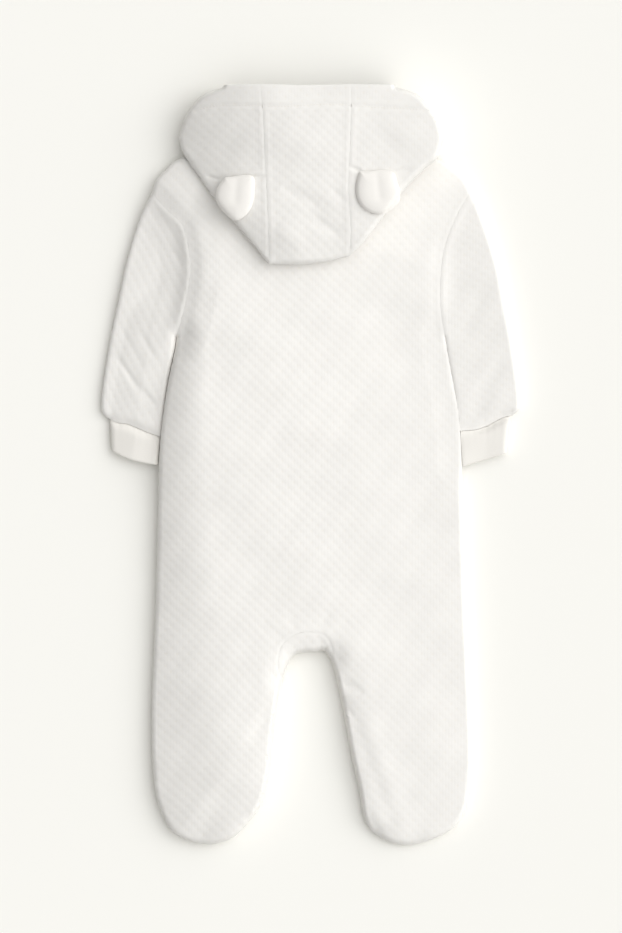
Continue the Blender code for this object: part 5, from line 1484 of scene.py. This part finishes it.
class ONESIE_OT_ears(bpy.types.Operator):
    """Bear ears, two layers sewn, turned and pinched at the root"""

    bl_idname = "onesie.ears"
    bl_label = "Ears"

    def execute(self, context):
        for rim_line, pinch, name in ((EAR_LEFT, EAR_PINCH_LEFT, "ear_left"),
                                      (EAR_RIGHT, EAR_PINCH_RIGHT, "ear_right")):
            loop = smooth_line(closed(rim_line), EAR_STEP)[:-1]
            ear = Cloth(name + "_cloth", EAR_RIM, gather(closed(loop[::-1])), EAR_ROUND)
            pinch_lines = gather(smooth_line(pinch))
            edges = gather(closed(loop))
            seeds = square_grid(loop, EAR_STEP)
            seeds = seeds[inside(seeds, loop)]
            seeds = seeds[distance(seeds, edges, 6.0) > 0.5 * EAR_STEP]
            plan = np.vstack([loop, seeds])
            faces = triangulate(loop, seeds)
            depth = distance(plan, edges, 30.0)
            angle = 0.5 * math.pi * np.clip(depth / EAR_ROUND, 0.0, 1.0)
            plump = EAR_RISE * quarter(depth, EAR_ROUND)
            pleat = EAR_PINCH * np.exp(-(distance(plan, pinch_lines) / EAR_PINCH_WIDTH) ** 2)
            base = ear_rest(plan)
            over = base + EAR_RIM + np.maximum(plump - pleat, 0.0)
            top = np.column_stack([plan, over])
            bottom = np.column_stack([plan, base])
            ear.add(top, plan, faces)
            ear.add(bottom, plan, faces[:, ::-1])
            around = np.arange(len(loop) + 1) % len(loop)
            ear.rim([(top, plan), (bottom, plan)], around, signed_area(loop) > 0.0, True,
                    loop)
            piece = ear.build(finish_of("Plain ear jersey"))
            hand_over(piece, name)
        return {"FINISHED"}


STITCHED = (-97.0, 98.0)    # the hem's stitches run between these, across the hood
THREAD = 0.26               # half the thread's thickness
THREAD_SINK = 0.55          # a stitch's ends lie this far below the smooth cloth
THREAD_RISE = 0.3           # and its middle stands this much above its ends
THREAD_SHARE = 0.86         # share of the stitch length that its thread fills


class ONESIE_OT_stitches(bpy.types.Operator):
    """Stitches along the hood's hem"""

    bl_idname = "onesie.stitches"
    bl_label = "Hem stitches"

    def execute(self, context):
        pitch = sizes().stitch / MM
        line = even_line(HEM[(HEM[:, 0] > STITCHED[0]) & (HEM[:, 0] < STITCHED[1])], pitch)
        middle = 0.5 * (line[1:] + line[:-1])
        run = np.diff(line, axis=0)
        length = np.hypot(*run.T)[:, None]
        along = run / length
        depth = distance(middle, HOOD_EDGE)
        z = hood_upper(middle, depth, 0.0) - THREAD_SINK
        t = np.linspace(-0.5, 0.5, 5)
        spin = np.linspace(0.0, 2.0 * math.pi, 6, endpoint=False)
        thick = THREAD * np.sqrt(np.clip(1.0 - (2.0 * t) ** 4, 0.05, 1.0))
        rise = THREAD_RISE * np.cos(math.pi * t)
        axis = t[None, :, None] * (THREAD_SHARE * length)[:, None]
        across = np.column_stack([-along[:, 1], along[:, 0]])
        ring = np.cos(spin)[None, None, :, None] * thick[None, :, None, None]
        plan = (middle[:, None, None, :] + axis[:, :, None] * along[:, None, None, :]
                + ring * across[:, None, None, :])
        high = (z[:, None, None] + rise[None, :, None]
                + np.sin(spin)[None, None, :] * thick[None, :, None])
        points = np.concatenate([plan, high[..., None]], axis=3)
        count, rows, spokes = len(middle), len(t), len(spin)
        place = np.arange(count * rows * spokes).reshape(count, rows, spokes)
        beside = np.roll(place, -1, axis=2)
        a, b = place[:, :-1].ravel(), place[:, 1:].ravel()
        c, d = beside[:, 1:].ravel(), beside[:, :-1].ravel()
        sides = np.vstack([np.column_stack([a, c, b]), np.column_stack([a, d, c])])
        caps = [np.column_stack([place[:, 0, 0], place[:, 0, k + 1], place[:, 0, k]])
                for k in range(1, spokes - 1)]
        caps += [np.column_stack([place[:, -1, 0], place[:, -1, k], place[:, -1, k + 1]])
                 for k in range(1, spokes - 1)]
        faces = np.vstack([sides, *caps])
        piece = make_object("hem_stitches", points.reshape(-1, 3) * MM, faces,
                            finish_of("Spun sewing thread"))
        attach(piece, "root")
        return {"FINISHED"}


# The stage, in metres
GROUND_HALF = 4.0           # half the ground's side
GROUND_DROP = 0.0003        # it lies this far below the garment
KEY_SPREAD = math.radians(35.0)
LENS = 300.0                # millimetres, in front of a sensor 36 mm high
PHOTO_HIGH = 0.8117         # height of the photograph's frame where the back lies
BACK_LEVEL = 0.015          # and how high that is


class ONESIE_OT_stage(bpy.types.Operator):
    """Ground, light and camera"""

    bl_idname = "onesie.stage"
    bl_label = "Studio"

    def execute(self, context):
        scene = context.scene
        corners = [(x * GROUND_HALF, y * GROUND_HALF, -GROUND_DROP)
                   for x, y in ((-1, -1), (1, -1), (1, 1), (-1, 1))]
        ground = make_object("ground", np.array(corners), np.array([(0, 1, 2), (0, 2, 3)]),
                             finish_of("Studio paper"))
        lights = scene.onesie_lights
        scene.world = studio_glow(lights)
        light = bpy.data.lights.new("key", "SUN")
        light.energy, light.angle = lights.key, KEY_SPREAD
        light.color = (1.0, 0.998, 0.99)
        key = bpy.data.objects.new("key", light)
        key.rotation_euler = toward_light(lights.bearing, lights.key_lean).to_track_quat(
            "Z", "Y").to_euler()
        context.collection.objects.link(key)
        lens = bpy.data.cameras.new("above")
        lens.lens, lens.sensor_width = LENS, 36.0
        camera = bpy.data.objects.new("above", lens)
        reach = PHOTO_HIGH / 2.0 * lens.lens / (lens.sensor_width / 2.0)
        camera.location = (0.0003, -0.0004, reach + BACK_LEVEL)
        lens.clip_end = 60.0
        context.collection.objects.link(camera)
        scene.camera = camera
        scene.view_settings.view_transform = "Standard"
        return {"FINISHED"}


class ONESIE_PT_panel(bpy.types.Panel):
    """The onesie's settings and steps"""

    bl_label = "Onesie"
    bl_idname = "ONESIE_PT_panel"
    bl_space_type = "VIEW_3D"
    bl_region_type = "UI"
    bl_category = "Onesie"

    def draw(self, context):
        scene = context.scene
        for group in (scene.onesie_sizes, scene.onesie_colours, scene.onesie_lights):
            box = self.layout.box()
            for name in group.__annotations__:
                box.prop(group, name)
        for step in STEPS:
            self.layout.operator(step.bl_idname)


STEPS = (ONESIE_OT_back, ONESIE_OT_fronts, ONESIE_OT_gusset, ONESIE_OT_sleeves, ONESIE_OT_cuffs,
         ONESIE_OT_hood, ONESIE_OT_ears, ONESIE_OT_stitches, ONESIE_OT_stage)
GROUPS = (OnesieSizes, OnesieColours, OnesieLights)


def register():
    """Registers the classes and hangs the settings on the scene."""
    for item in (*GROUPS, *STEPS, ONESIE_PT_panel):
        bpy.utils.register_class(item)
    bpy.types.Scene.onesie_sizes = PointerProperty(type=OnesieSizes)
    bpy.types.Scene.onesie_colours = PointerProperty(type=OnesieColours)
    bpy.types.Scene.onesie_lights = PointerProperty(type=OnesieLights)


def unregister():
    """Takes the settings and classes away again."""
    del bpy.types.Scene.onesie_sizes
    del bpy.types.Scene.onesie_colours
    del bpy.types.Scene.onesie_lights
    for item in reversed((*GROUPS, *STEPS, ONESIE_PT_panel)):
        bpy.utils.unregister_class(item)


def main():
    """Makes every piece and the stage."""
    register()
    for step in STEPS:
        group, name = step.bl_idname.split(".")
        getattr(getattr(bpy.ops, group), name)()


if __name__ == "__main__":
    main()
